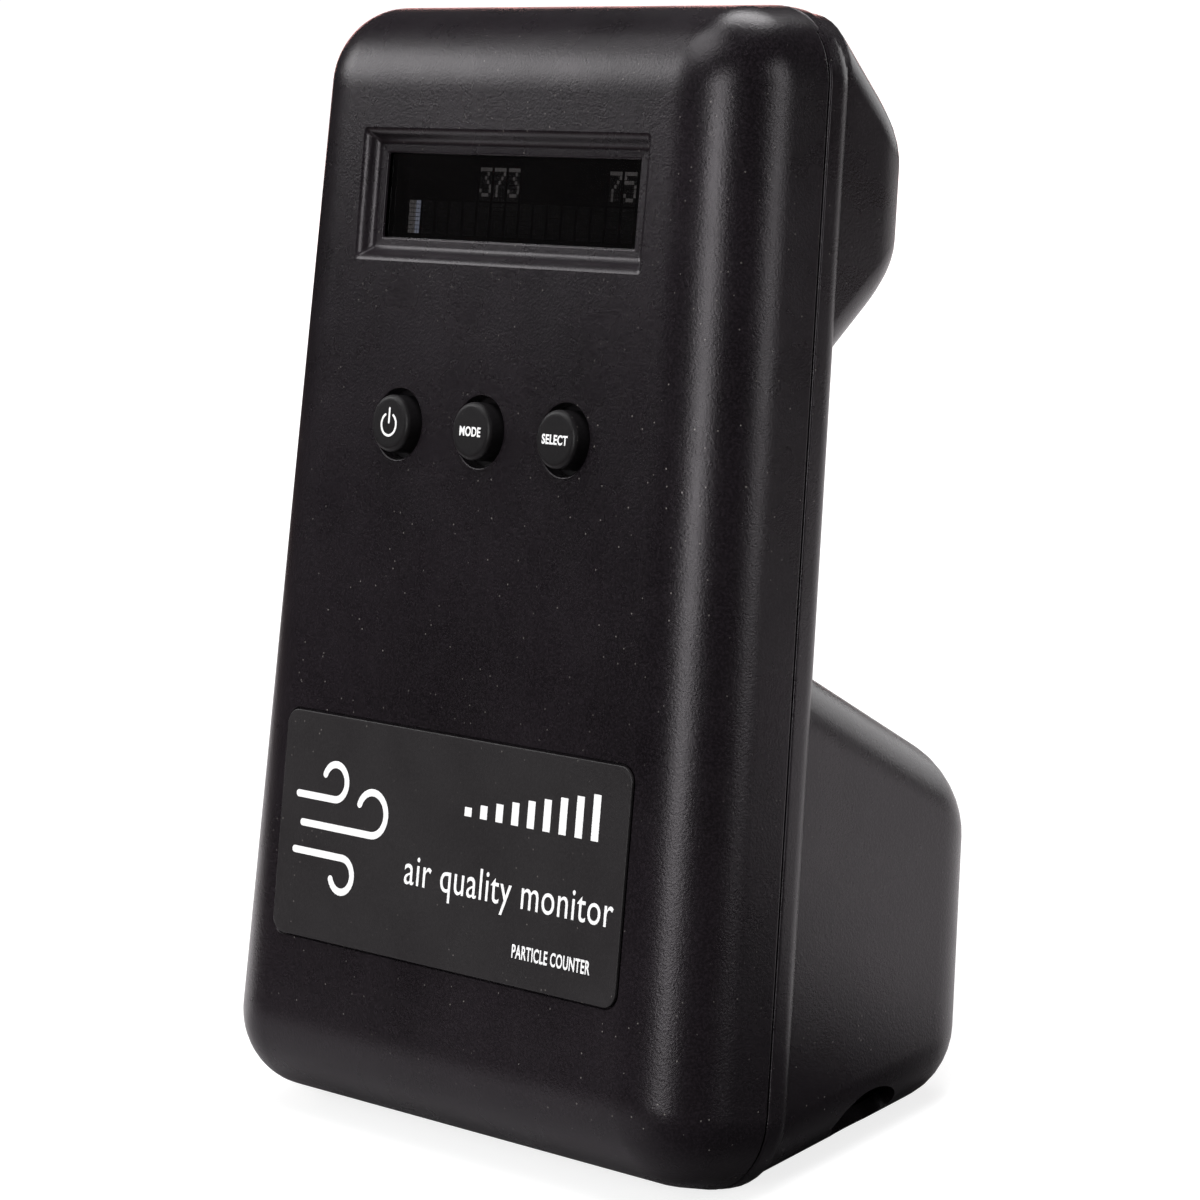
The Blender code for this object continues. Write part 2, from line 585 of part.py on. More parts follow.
lid = part("chamber_lid", box_mesh(
    (fan_x - FAN_HALF, CHAMBER_FRONT - FIT - 0.0016, fan_z - FAN_HALF),
    (fan_x + FAN_HALF, CHAMBER_FRONT - FIT, fan_z + FAN_HALF)), inner_plastic)
combine(lid, cutter("inlet", rod_mesh(0.0060, (fan_x, 0.01, fan_z), 0.02, sides=20)), "DIFFERENCE")

laser_start = SOCKET_START + FIT
laser = part("laser_module", rod_mesh(0.0030, (laser_start, LASER_DEPTH, fan_z), 0.0145, axis="X",
                                      sides=18), brass)
combine(laser, cutter("laser_nose", rod_mesh(
    0.0024, (laser_start - 0.01, LASER_DEPTH, fan_z), 0.0118, axis="X")), "DIFFERENCE")
part("laser_lens", rod_mesh(0.0021, (laser_start + 0.0005, LASER_DEPTH, fan_z), 0.0010, axis="X",
                            sides=14), lens_glass)
trap = part("light_trap", rod_mesh(0.0030, (-laser_start - 0.0080, LASER_DEPTH, fan_z), 0.0080,
                                   axis="X", sides=18), inner_plastic)
combine(trap, cutter("trap_hollow", rod_mesh(
    0.0019, (-laser_start - 0.0060, LASER_DEPTH, fan_z), 0.02, axis="X", sides=14)), "DIFFERENCE")
chamber_top = fan_z + FAN_HALF
part("photodiode", rod_mesh(0.0025, (fan_x, LASER_DEPTH, chamber_top - 0.0035),
                            0.0035 + FIT, axis="Z"), lens_glass)
part("photodiode_board", box_mesh(
    (fan_x - 0.008, LASER_DEPTH - 0.006, chamber_top + 2 * FIT),
    (fan_x + 0.008, LASER_DEPTH + 0.006, chamber_top + 2 * FIT + 0.0012)), board_green)

# ---------------------------------------------------------------- fan
FAN_FRONT = FAN_REAR - FAN_DEPTH
fan_frame = part("fan_frame", box_mesh((fan_x - FAN_HALF, FAN_FRONT, fan_z - FAN_HALF),
                                       (fan_x + FAN_HALF, FAN_REAR, fan_z + FAN_HALF)), inner_plastic)
fan_bore = bmesh.new()
add_rod(fan_bore, FAN_BORE, (fan_x, FAN_FRONT - 0.01, fan_z), 0.04, sides=28)
combine(fan_frame, cutter("fan_bore", fan_bore), "DIFFERENCE")
MOTOR_PLATE = 0.0018
plate_front = FAN_REAR - MOTOR_PLATE
spider = bmesh.new()
add_rod(spider, ROTOR_HUB_RADIUS, (fan_x, plate_front, fan_z), MOTOR_PLATE, sides=20)
combine(fan_frame, cutter("motor_plate", spider), "UNION")
for index in range(2):
    arm = bmesh.new()
    add_box(arm, (-FAN_BORE - 0.0004, plate_front + 0.0001, -0.0012),
            (FAN_BORE + 0.0004, FAN_REAR - 0.0001, 0.0012))
    turn = Matrix.Rotation(math.radians(45 + 90 * index), 3, "Y")
    bmesh.ops.rotate(arm, verts=arm.verts, matrix=turn)
    bmesh.ops.translate(arm, verts=arm.verts, vec=(fan_x, 0.0, fan_z))
    combine(fan_frame, cutter("fan_arm", arm), "UNION")
fan_holes = bmesh.new()
for x, z in FAN_CORNERS:
    add_rod(fan_holes, 0.0018, (x, 0.0, z), 0.1, sides=10)
add_rod(fan_holes, 0.0015, (fan_x, 0.0, fan_z), 0.1, sides=12)
combine(fan_frame, cutter("fan_holes", fan_holes), "DIFFERENCE")

ROTOR_FRONT = FAN_FRONT + 0.0012
rotor_length = plate_front - 0.0005 - ROTOR_FRONT
rotor = part("fan_rotor", rod_mesh(ROTOR_HUB_RADIUS, (fan_x, ROTOR_FRONT, fan_z), rotor_length,
                                   sides=24), inner_plastic)
blades = bmesh.new()
for index in range(BLADE_COUNT):
    verts = add_box(blades, (ROTOR_HUB_RADIUS - 0.001, -0.0075, -0.0006),
                    (ROTOR_RADIUS, 0.0075, 0.0006))
    pitch = Matrix.Rotation(math.radians(38), 3, "X")
    around = Matrix.Rotation(2 * math.pi * index / BLADE_COUNT, 3, "Y")
    bmesh.ops.rotate(blades, verts=verts, matrix=around @ pitch)
    bmesh.ops.translate(blades, verts=verts, vec=(fan_x, ROTOR_FRONT + rotor_length / 2, fan_z))
combine(rotor, cutter("blades", blades), "UNION")
SHAFT_START = ROTOR_FRONT + 0.0080
shaft_hole = rod_mesh(0.0015, (fan_x, SHAFT_START, fan_z), 0.04, sides=12)
combine(rotor, cutter("shaft_hole", shaft_hole), "DIFFERENCE")
part("fan_shaft", rod_mesh(0.0012, (fan_x, SHAFT_START + FIT, fan_z),
                           FAN_REAR - FIT - SHAFT_START - FIT, sides=12), steel)

# ---------------------------------------------------------------- power inlet
INNER_REAR = LOWER_DEPTH - LOWER_TAPER - WALL - FIT
jack = part("dc_jack", rod_mesh(0.0054, (jack_x, INNER_REAR - 0.0135, jack_z), 0.0135, sides=20),
            chip_black)
combine(jack, cutter("jack_nose", rod_mesh(0.0037, (jack_x, INNER_REAR - 0.002, jack_z),
                                           0.0045, sides=20)), "UNION")
combine(jack, cutter("jack_bore", rod_mesh(0.0028, (jack_x, INNER_REAR - 0.0075, jack_z), 0.02,
                                           sides=18)), "DIFFERENCE")
combine(jack, cutter("jack_pin", rod_mesh(0.0010, (jack_x, INNER_REAR - 0.0085, jack_z), 0.0100,
                                          sides=12)), "UNION")


# ---------------------------------------------------------------- screws
def screw(name, x, z, seat, tip, head_radius, head_height, shank_radius):
    """A pan-head screw driven towards the face: its head sits behind seat."""
    shape = bmesh.new()
    add_rod(shape, shank_radius, (x, tip, z), seat - tip, sides=8)
    made = part(name, shape, steel)
    head = rod_mesh(head_radius, (x, seat - 0.0001, z), head_height + 0.0001, sides=12)
    combine(made, cutter(f"{name}_head", head), "UNION")
    slot = box_mesh((x - head_radius * 0.6, seat + head_height - 0.0006, z - 0.0003),
                    (x + head_radius * 0.6, seat + 0.01, z + 0.0003))
    combine(made, cutter(f"{name}_slot", slot), "DIFFERENCE")


for index, (x, z) in enumerate(CASE_POSTS):
    screw(f"case_screw_{index + 1}", x, z, WELL_SEAT + FIT, 0.0080, 0.0029, 0.0020, 0.0013)
for index, (x, z) in enumerate(BOARD_POSTS):
    screw(f"board_screw_{index + 1}", x, z, back_of_board, 0.0080, 0.0024, 0.0014, 0.0011)
for index, (x, z) in enumerate(LCD_POSTS):
    screw(f"display_screw_{index + 1}", x, z, LCD_BOARD_DEPTH + BOARD_THICKNESS + FIT, 0.0060,
          0.0022, 0.0013, 0.0010)
for index, (x, z) in enumerate(FAN_CORNERS):
    screw(f"fan_screw_{index + 1}", x, z, FAN_SCREW_SEAT + FIT, 0.0340, 0.0028, 0.0014,
          0.0014)


# ---------------------------------------------------------------- leads
def lead(name, route, radius=0.0009):
    """A round lead along a smooth curve through its route."""
    points = [Vector(point) for point in route]
    smooth = []
    ends = [points[0] * 2 - points[1]] + points + [points[-1] * 2 - points[-2]]
    for before, start, end, after in zip(ends, ends[1:], ends[2:], ends[3:]):
        for step in range(4):
            t = step / 4
            smooth.append(0.5 * (2 * start + (end - before) * t
                                 + (2 * before - 5 * start + 4 * end - after) * t * t
                                 + (3 * start - before - 3 * end + after) * t ** 3))
    smooth.append(points[-1])
    curve = bpy.data.curves.new(name, "CURVE")
    curve.dimensions = "3D"
    spline = curve.splines.new("POLY")
    spline.points.add(len(smooth) - 1)
    for knot, point in zip(spline.points, smooth):
        knot.co = (*point, 1.0)
    curve.bevel_depth = radius
    curve.bevel_resolution = 2
    curve.use_fill_caps = True
    curve.materials.append(lead_insulation)
    made = bpy.data.objects.new(name, curve)
    parts.objects.link(made)
    made.parent = case_frame


plug_back = back_of_board + CONNECTOR_DEPTH + FIT
lead("fan_lead", ((0.0150, 0.0500, 0.0574), (0.0152, 0.0495, 0.0605), (0.0185, 0.0420, 0.0640),
                  (0.0220, 0.0320, 0.0680), (0.0230, 0.0255, 0.0698),
                  (CONNECTORS["fan"], plug_back, 0.0700)))
lead("laser_lead", ((laser_start + 0.0148, LASER_DEPTH, fan_z), (0.0345, 0.0318, 0.0375),
                    (0.0370, 0.0300, 0.0440), (0.0360, 0.0275, 0.0560), (0.0335, 0.0260, 0.0670),
                    (CONNECTORS["laser"], plug_back, 0.0700)))
lead("detector_lead", ((fan_x, LASER_DEPTH, chamber_top + 2 * FIT + 0.0015),
                       (0.0005, 0.0315, 0.0615), (0.0040, 0.0280, 0.0665),
                       (0.0070, 0.0248, 0.0695), (CONNECTORS["detector"], plug_back, 0.0700)))
lead("power_lead", ((jack_x, INNER_REAR - 0.0138, jack_z), (jack_x, 0.0460, 0.0405),
                    (-0.0360, 0.0380, 0.0480), (-0.0330, 0.0300, 0.0600),
                    (-0.0305, 0.0250, 0.0690), (CONNECTORS["power"], plug_back, 0.0700)))
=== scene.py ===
import math
import json

import bmesh
import bpy
from mathutils import Matrix, Vector


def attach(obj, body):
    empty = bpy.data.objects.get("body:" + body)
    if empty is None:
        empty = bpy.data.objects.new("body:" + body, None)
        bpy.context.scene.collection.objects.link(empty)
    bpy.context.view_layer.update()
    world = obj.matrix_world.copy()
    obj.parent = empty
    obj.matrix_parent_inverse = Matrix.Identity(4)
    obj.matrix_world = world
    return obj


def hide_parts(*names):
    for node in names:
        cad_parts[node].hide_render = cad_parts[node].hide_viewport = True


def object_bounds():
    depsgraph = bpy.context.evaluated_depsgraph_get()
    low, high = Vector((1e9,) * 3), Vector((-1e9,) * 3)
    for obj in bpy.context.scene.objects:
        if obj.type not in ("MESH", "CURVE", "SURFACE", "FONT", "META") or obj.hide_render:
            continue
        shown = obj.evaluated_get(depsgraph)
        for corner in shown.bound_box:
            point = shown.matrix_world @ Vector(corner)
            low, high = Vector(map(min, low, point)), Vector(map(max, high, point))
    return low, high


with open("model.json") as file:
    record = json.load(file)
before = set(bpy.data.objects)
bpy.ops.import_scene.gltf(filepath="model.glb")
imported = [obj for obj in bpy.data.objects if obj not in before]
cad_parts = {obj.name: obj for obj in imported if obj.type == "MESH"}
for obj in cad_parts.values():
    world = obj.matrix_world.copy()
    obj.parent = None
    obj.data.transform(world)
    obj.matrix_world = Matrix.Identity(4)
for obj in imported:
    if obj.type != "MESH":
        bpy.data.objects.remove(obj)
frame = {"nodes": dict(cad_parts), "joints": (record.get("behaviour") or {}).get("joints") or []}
cad_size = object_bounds()
cad = frame["nodes"]

# ---------------------------------------------------------------- where the case stands
# The case leans back on its sloped underside. Its own frame runs X across, Y from the face
# to the back and Z up along the face, and every piece is modelled in that frame.
press = next(joint for joint in frame["joints"] if joint["name"] == "power_press")
lean = math.asin(-press["axis"][2])
leaning = Matrix.Rotation(-lean, 4, "X")
upright = leaning.inverted()
shell_points = [upright @ vertex.co for vertex in cad["front_shell"].data.vertices]
CASE = leaning @ Matrix.Translation((0.0, min(point.y for point in shell_points),
                                     min(point.z for point in shell_points)))
FROM_ROW = CASE.inverted()


def measured(name):
    """Lowest and highest corner of a CAD part in the case's frame."""
    points = [FROM_ROW @ vertex.co for vertex in cad[name].data.vertices]
    low = Vector([min(point[axis] for point in points) for axis in range(3)])
    high = Vector([max(point[axis] for point in points) for axis in range(3)])
    return low, high


# ---------------------------------------------------------------- studio
# A seamless pale floor, a white surround and nine lamps. Two upright boxes draw the soft
# bands down the case's right front rounding, and two more lamps light without mirroring.
CAMERA_PLACE = Vector((0.5101, -0.4459, 0.1214))
LENS = 132.0
azimuth, elevation, roll = math.radians(47.10), math.radians(2.98), math.radians(4.62)
back = Vector((math.sin(azimuth) * math.cos(elevation),
               -math.cos(azimuth) * math.cos(elevation), math.sin(elevation)))
level = Vector((0, 0, 1)).cross(back).normalized()
rising = back.cross(level)
across = level * math.cos(roll) + rising * math.sin(roll)
upward = rising * math.cos(roll) - level * math.sin(roll)
aim = Matrix((across, upward, back)).transposed().to_4x4()
aim.translation = CAMERA_PLACE
camera = bpy.data.objects.new("camera", bpy.data.cameras.new("camera"))
camera.data.sensor_width = 36.0
camera.data.lens = LENS
camera.data.clip_start = 0.01
camera.matrix_world = CASE @ aim
bpy.context.scene.collection.objects.link(camera)
bpy.context.scene.camera = camera
bpy.context.scene.view_settings.view_transform = "Standard"

middle = (cad_size[0] + cad_size[1]) / 2


def soft_box(name, azimuth, elevation, distance, size, power, colour=(1.0, 1.0, 1.0),
             glossy=True):
    """A rectangular lamp that faces the case from a compass direction seen from above; one
    that isn't glossy lights the case without showing in its gloss."""
    azimuth, elevation = math.radians(azimuth), math.radians(elevation)
    way = Vector((math.sin(azimuth) * math.cos(elevation),
                  -math.cos(azimuth) * math.cos(elevation), math.sin(elevation)))
    lamp = bpy.data.lights.new(name, "AREA")
    lamp.shape = "RECTANGLE"
    lamp.size, lamp.size_y = size
    lamp.energy = power
    lamp.color = colour
    stand = bpy.data.objects.new(name, lamp)
    stand.location = middle + way * distance
    stand.rotation_euler = way.to_track_quat("Z", "Y").to_euler()
    stand.visible_camera = False
    stand.visible_glossy = glossy
    bpy.context.scene.collection.objects.link(stand)


soft_box("box_upper_left", -66, 31, 0.9, (0.50, 0.33), 1.9)
soft_box("box_front", 23, 21, 1.0, (0.28, 0.56), 2.6)
soft_box("box_right", 101, 14, 0.9, (0.17, 0.55), 1.15)
soft_box("box_rear", 180, 6, 1.0, (0.8, 0.5), 2.0)
soft_box("box_warm", 227, 3, 1.0, (0.5, 0.22), 1.5, (1.0, 0.50, 0.47))
soft_box("box_high_rear", 205, 58, 1.1, (0.6, 0.5), 5.0)
soft_box("box_above", -55, 64, 1.0, (0.7, 0.5), 2.4)
soft_box("box_overhead", 60, 78, 1.2, (0.7, 0.7), 16.0, glossy=False)
soft_box("box_fill", 5, 28, 1.2, (0.8, 0.8), 7.0, glossy=False)

world = bpy.data.worlds.new("surround")
bpy.context.scene.world = world
world.use_nodes = True
tree = world.node_tree
tree.nodes.clear()
seen = tree.nodes.new("ShaderNodeLightPath")
pale = tree.nodes.new("ShaderNodeBackground")
pale.inputs["Color"].default_value = (1.0, 1.0, 1.0, 1.0)
dim = tree.nodes.new("ShaderNodeBackground")
dim.inputs["Color"].default_value = (0.030, 0.028, 0.029, 1.0)
choice = tree.nodes.new("ShaderNodeMixShader")
out = tree.nodes.new("ShaderNodeOutputWorld")
tree.links.new(seen.outputs["Is Camera Ray"], choice.inputs["Fac"])
tree.links.new(dim.outputs[0], choice.inputs[1])
tree.links.new(pale.outputs[0], choice.inputs[2])
tree.links.new(choice.outputs[0], out.inputs["Surface"])

# the floor is pale to the eye, and what the dark gloss mirrors of it is painted: a dark patch to
# the right is painted shade, a bright patch behind is painted light, and it darkens far out
FLOOR_RADIUS = 6.0
FLOOR_IN_FRONT = (0.24, 0.23, 0.24)
FLOOR_AT_RIGHT = (0.03, 0.028, 0.03)
FLOOR_BEHIND = (0.64, 0.62, 0.63)
FLOOR_FAR = (0.07, 0.05, 0.048)
floor_mesh = bmesh.new()
bmesh.ops.create_circle(floor_mesh, cap_ends=True, segments=64, radius=FLOOR_RADIUS)
floor_data = bpy.data.meshes.new("floor")
floor_mesh.to_mesh(floor_data)
floor_mesh.free()
floor = bpy.data.objects.new("floor", floor_data)
bpy.context.scene.collection.objects.link(floor)
paper = bpy.data.materials.new("seamless_paper")
paper.use_nodes = True
tree = paper.node_tree
tree.nodes.clear()
seen = tree.nodes.new("ShaderNodeLightPath")
matt = tree.nodes.new("ShaderNodeBsdfDiffuse")
matt.inputs["Color"].default_value = (0.30, 0.30, 0.30, 1.0)
glow = tree.nodes.new("ShaderNodeEmission")
lit = tree.nodes.new("ShaderNodeAddShader")
shaded = tree.nodes.new("ShaderNodeBsdfDiffuse")
spot = tree.nodes.new("ShaderNodeTexCoord").outputs["Object"]


def ramp(value, low, high, start=0.0, end=1.0):
    """A soft step of a floor value from start to end as it goes from low to high."""
    spread = tree.nodes.new("ShaderNodeMapRange")
    spread.interpolation_type = "SMOOTHSTEP"
    for label, number in (("From Min", low), ("From Max", high),
                          ("To Min", start), ("To Max", end)):
        spread.inputs[label].default_value = number
    tree.links.new(value, spread.inputs["Value"])
    return spread.outputs["Result"]


def reach(operation, vector):
    """How far each spot on the floor lies along a way, or from a place."""
    made = tree.nodes.new("ShaderNodeVectorMath")
    made.operation = operation
    made.inputs[1].default_value = vector
    tree.links.new(spot, made.inputs[0])
    return made.outputs["Value"]


def blend(first, second, share):
    """Two floor tones mixed by share; each is a colour or another blend."""
    made = tree.nodes.new("ShaderNodeMix")
    made.data_type = "RGBA"
    for label, tone in (("A", first), ("B", second)):
        if isinstance(tone, tuple):
            made.inputs[label].default_value = (*tone, 1.0)
        else:
            tree.links.new(tone, made.inputs[label])
    tree.links.new(share, made.inputs["Factor"])
    return made.outputs["Result"]


# painted reflections: the floor's tone for all but camera rays, dark to the right, bright behind,
# dark far out
to_right = ramp(reach("DOT_PRODUCT", (1, 0, 0)), 0.03, 0.07)
to_rear = ramp(reach("DOT_PRODUCT", (-0.45, 1, 0)), -0.005, 0.030)
outward = ramp(reach("DISTANCE", (0.02, 0.20, 0)), 0.40, 0.62)
tones = blend(FLOOR_IN_FRONT, FLOOR_AT_RIGHT, to_right)
tones = blend(tones, FLOOR_BEHIND, to_rear)
tones = blend(tones, FLOOR_FAR, outward)
tree.links.new(tones, shaded.inputs["Color"])
tree.links.new(ramp(reach("DISTANCE", (0, 0, 0)), 0.20, 0.80, 0.80, 1.0), glow.inputs["Strength"])
choice = tree.nodes.new("ShaderNodeMixShader")
out = tree.nodes.new("ShaderNodeOutputMaterial")
tree.links.new(matt.outputs[0], lit.inputs[0])
tree.links.new(glow.outputs[0], lit.inputs[1])
tree.links.new(seen.outputs["Is Camera Ray"], choice.inputs["Fac"])
tree.links.new(shaded.outputs[0], choice.inputs[1])
tree.links.new(lit.outputs[0], choice.inputs[2])
tree.links.new(choice.outputs[0], out.inputs["Surface"])
floor_data.materials.append(paper)

# ---------------------------------------------------------------- front shell
# The front half of the case, one moulding in spark-textured black ABS, open at the back.
# Four screws from the rear hold it; the face is cut for the display, keys and name plate.
BOTTOM_WIDTH = 0.1136
TOP_WIDTH = 0.1022
CASE_HEIGHT = measured("front_shell")[1].z
SEAM = measured("front_shell")[1].y
OUTLINE_RADIUS = 0.0124
FACE_ROUNDING = 0.0135
WALL = 0.0024
SKIN = 0.0008
GAP = 0.0003
SEAM_LIP = 0.0004
CASE_POSTS = ((-0.0460, 0.0240), (0.0460, 0.0240), (-0.0400, 0.1690), (0.0400, 0.1690))
BOARD_POSTS = ((-0.0360, 0.0360), (0.0360, 0.0360), (-0.0360, 0.1220), (0.0360, 0.1220))
DISPLAY_POSTS = ((-0.0375, 0.1309), (0.0375, 0.1309), (-0.0375, 0.1619), (0.0375, 0.1619))
# for each group: places, radius, far end, sides, and the pilot hole's start and radius
POSTS = ((CASE_POSTS, 0.0034, SEAM, 28, 0.0060, 0.0016),
         (BOARD_POSTS, 0.0025, 0.0142, 24, 0.0065, 0.0014),
         (DISPLAY_POSTS, 0.0022, 0.0094, 24, 0.0045, 0.0013))


def texture_group(name, inputs, outputs):
    """An empty shader node group with float inputs and outputs, and its two end nodes."""
    group = bpy.data.node_groups.new(name, "ShaderNodeTree")
    for label, value in inputs.items():
        made = group.interface.new_socket(label, in_out="INPUT", socket_type="NodeSocketFloat")
        made.default_value = value
    for label in outputs:
        group.interface.new_socket(label, in_out="OUTPUT", socket_type="NodeSocketFloat")
    return group, group.nodes.new("NodeGroupInput"), group.nodes.new("NodeGroupOutput")


def noise_node(group, places, scale, detail, roughness=0.5):
    """Noise at places, with a fixed scale or one that comes from a socket."""
    noise = group.nodes.new("ShaderNodeTexNoise")
    noise.inputs["Detail"].default_value = detail
    noise.inputs["Roughness"].default_value = roughness
    group.links.new(places, noise.inputs["Vector"])
    if isinstance(scale, float):
        noise.inputs["Scale"].default_value = scale
    else:
        group.links.new(scale, noise.inputs["Scale"])
    return noise.outputs["Fac"]


def remap(group, value, low, high, start=0.0, end=1.0):
    """A value stretched evenly from low and high to start and end."""
    spread = group.nodes.new("ShaderNodeMapRange")
    for label, number in (("From Min", low), ("From Max", high),
                          ("To Min", start), ("To Max", end)):
        spread.inputs[label].default_value = number
    group.links.new(value, spread.inputs["Value"])
    return spread.outputs["Result"]


def arithmetic(group, operation, first, second):
    """The sum or product of two values, each a number or a socket."""
    sum_node = group.nodes.new("ShaderNodeMath")
    sum_node.operation = operation
    for index, value in enumerate((first, second)):
        if isinstance(value, float):
            sum_node.inputs[index].default_value = value
        else:
            group.links.new(value, sum_node.inputs[index])
    return sum_node.outputs["Value"]


# the fine pitted grain that a spark-eroded mould leaves, with a little dust on it
grain_group, ends_in, ends_out = texture_group(
    "moulded_grain", {"Grain": 1500.0, "Dust": 0.5}, ("Height", "Mottle", "Dust", "Shine"))
where = grain_group.nodes.new("ShaderNodeTexCoord").outputs["Object"]
fine = noise_node(grain_group, where, ends_in.outputs["Grain"], 3.0, 0.6)
wider = noise_node(grain_group, where, 900.0, 2.0)
height = arithmetic(grain_group, "ADD", fine, arithmetic(grain_group, "MULTIPLY", wider, 0.25))
grain_group.links.new(height, ends_out.inputs["Height"])
patches = remap(grain_group, noise_node(grain_group, where, 38.0, 3.0), 0.35, 0.65, 0.0, 0.35)
pits = noise_node(grain_group, where, 2600.0, 1.0)
pitted = remap(grain_group, pits, 0.40, 0.72, 0.0, 0.65)
grain_group.links.new(arithmetic(grain_group, "ADD", patches, pitted), ends_out.inputs["Mottle"])
specks = grain_group.nodes.new("ShaderNodeTexVoronoi")
specks.inputs["Scale"].default_value = 520.0
grain_group.links.new(where, specks.inputs["Vector"])
dots = remap(grain_group, specks.outputs["Distance"], 0.050, 0.085, 1.0, 0.0)
drifts = remap(grain_group, noise_node(grain_group, where, 24.0, 2.0), 0.36, 0.66, 0.15, 1.0)
dust = arithmetic(grain_group, "MULTIPLY", arithmetic(grain_group, "MULTIPLY", dots, drifts),
                  ends_in.outputs["Dust"])
grain_group.links.new(dust, ends_out.inputs["Dust"])
sheen_patches = remap(grain_group, noise_node(grain_group, where, 95.0, 4.0, 0.6), 0.3, 0.7)
grain_group.links.new(sheen_patches, ends_out.inputs["Shine"])


def plastic(name, dark, light, roughness, grain=1500.0, depth=0.00003, dust=0.2, spread=0.06,
            specular=0.5, specular_tint=(1.0, 1.0, 1.0)):
    """A moulded plastic: two near tones in soft patches, fine grain, and dust on top."""
    made = bpy.data.materials.new(name)
    made.use_nodes = True
    tree = made.node_tree
    shader = tree.nodes["Principled BSDF"]
    shader.inputs["Specular IOR Level"].default_value = specular
    shader.inputs["Specular Tint"].default_value = (*specular_tint, 1.0)
    skin = tree.nodes.new("ShaderNodeGroup")
    skin.node_tree = grain_group
    skin.inputs["Grain"].default_value = grain
    skin.inputs["Dust"].default_value = dust
    tones = tree.nodes.new("ShaderNodeMix")
    tones.data_type = "RGBA"
    tones.inputs["A"].default_value = (*dark, 1.0)
    tones.inputs["B"].default_value = (*light, 1.0)
    tree.links.new(skin.outputs["Mottle"], tones.inputs["Factor"])
    dusted = tree.nodes.new("ShaderNodeMix")
    dusted.data_type = "RGBA"
    dusted.inputs["B"].default_value = (0.30, 0.28, 0.26, 1.0)
    tree.links.new(skin.outputs["Dust"], dusted.inputs["Factor"])
    tree.links.new(tones.outputs["Result"], dusted.inputs["A"])
    tree.links.new(dusted.outputs["Result"], shader.inputs["Base Color"])
    tree.links.new(remap(tree, skin.outputs["Shine"], 0.0, 1.0, roughness - spread / 2,
                         roughness + spread / 2), shader.inputs["Roughness"])
    bump = tree.nodes.new("ShaderNodeBump")
    bump.inputs["Strength"].default_value = 0.6
    bump.inputs["Distance"].default_value = depth
    tree.links.new(skin.outputs["Height"], bump.inputs["Height"])
    tree.links.new(bump.outputs["Normal"], shader.inputs["Normal"])
    return made


case_black = plastic("case_black", (0.0032, 0.0024, 0.0032), (0.0135, 0.0106, 0.0132), 0.28,
                     grain=2600.0, depth=0.00007, dust=0.5, specular_tint=(1.0, 0.95, 0.99))


def rounded(corners, steps):
    """The outline of a polygon whose corners (u, v, radius) are all turned into arcs."""
    points = []
    for index, (u, v, radius) in enumerate(corners):
        corner = Vector((u, v))
        before = (Vector(corners[index - 1][:2]) - corner).normalized()
        after = (Vector(corners[(index + 1) % len(corners)][:2]) - corner).normalized()
        half = before.angle(after) / 2
        centre = corner + (before + after).normalized() * (radius / math.sin(half))
        first = corner + before * (radius / math.tan(half)) - centre
        last = corner + after * (radius / math.tan(half)) - centre
        sweep = first.angle_signed(last)
        for step in range(steps + 1):
            turned = first.copy()
            turned.rotate(Matrix.Rotation(-sweep * step / steps, 2))
            points.append(centre + turned)
    return points


def half_width(height):
    """Half the case's width at a height: it narrows towards the top."""
    return (BOTTOM_WIDTH + (TOP_WIDTH - BOTTOM_WIDTH) * height / CASE_HEIGHT) / 2


def case_ring(depth, inset, radius=None, steps=12):
    """The case's outline at one depth, set in by inset."""
    if radius is None:
        radius = max(OUTLINE_RADIUS * (1 - inset / FACE_ROUNDING), 0.0) + 0.0016 * min(
            inset / FACE_ROUNDING, 1.0)
    low, high = inset, CASE_HEIGHT - inset
    corners = [(side * (half_width(height) - inset), height, radius)
               for side, height in ((-1, low), (1, low), (1, high), (-1, high))]
    return [Vector((point.x, depth, point.y)) for point in rounded(corners, steps)]


def loft(mesh, rings):
    """A closed skin through rings of equal length, capped at both ends."""
    loops = [[mesh.verts.new(point) for point in ring] for ring in rings]
    made = []
    for first, second in zip(loops, loops[1:]):
        for index in range(len(first)):
            after = (index + 1) % len(first)
            made.append(mesh.faces.new((first[index], first[after], second[after],
                                        second[index])))
    made.append(mesh.faces.new(loops[0][::-1]))
    made.append(mesh.faces.new(loops[-1]))
    bmesh.ops.recalc_face_normals(mesh, faces=made)


def arc(steps, start=0.0, end=90.0):
    """Even angles from start to end, in radians."""
    return [math.radians(start + (end - start) * step / steps) for step in range(steps + 1)]


def add_box(mesh, low, high):
    """A block between two corners; it gives back its vertices."""
    verts = bmesh.ops.create_cube(mesh, size=1.0)["verts"]
    for vertex in verts:
        vertex.co = Vector([low[axis] if vertex.co[axis] < 0 else high[axis]
                            for axis in range(3)])
    return verts


def add_turned(mesh, profile, place, sides=48):
    """A shape turned about an axis along Y: profile is (depth, radius) from one end."""
    x, z = place
    rings = []
    for depth, radius in profile:
        rings.append([Vector((x + radius * math.cos(2 * math.pi * side / sides), depth,
                              z + radius * math.sin(2 * math.pi * side / sides)))
                      for side in range(sides)])
    loft(mesh, rings)


def stand_in(name, mesh):
    """A mesh in the case's frame as an object in place."""
    data = bpy.data.meshes.new(name)
    mesh.to_mesh(data)
    mesh.free()
    made = bpy.data.objects.new(name, data)
    made.matrix_world = CASE
    bpy.context.scene.collection.objects.link(made)
    return made


def shape_with(target, tool, operation):
    """Cut, join or trim target with tool, which is then gone."""
    step = target.modifiers.new(tool.name, "BOOLEAN")
    step.object = tool
    step.operation = operation
    step.solver = "MANIFOLD"
    bpy.context.view_layer.objects.active = target
    bpy.context.view_layer.update()
    bpy.ops.object.modifier_apply(modifier=step.name)
    bpy.data.objects.remove(tool)


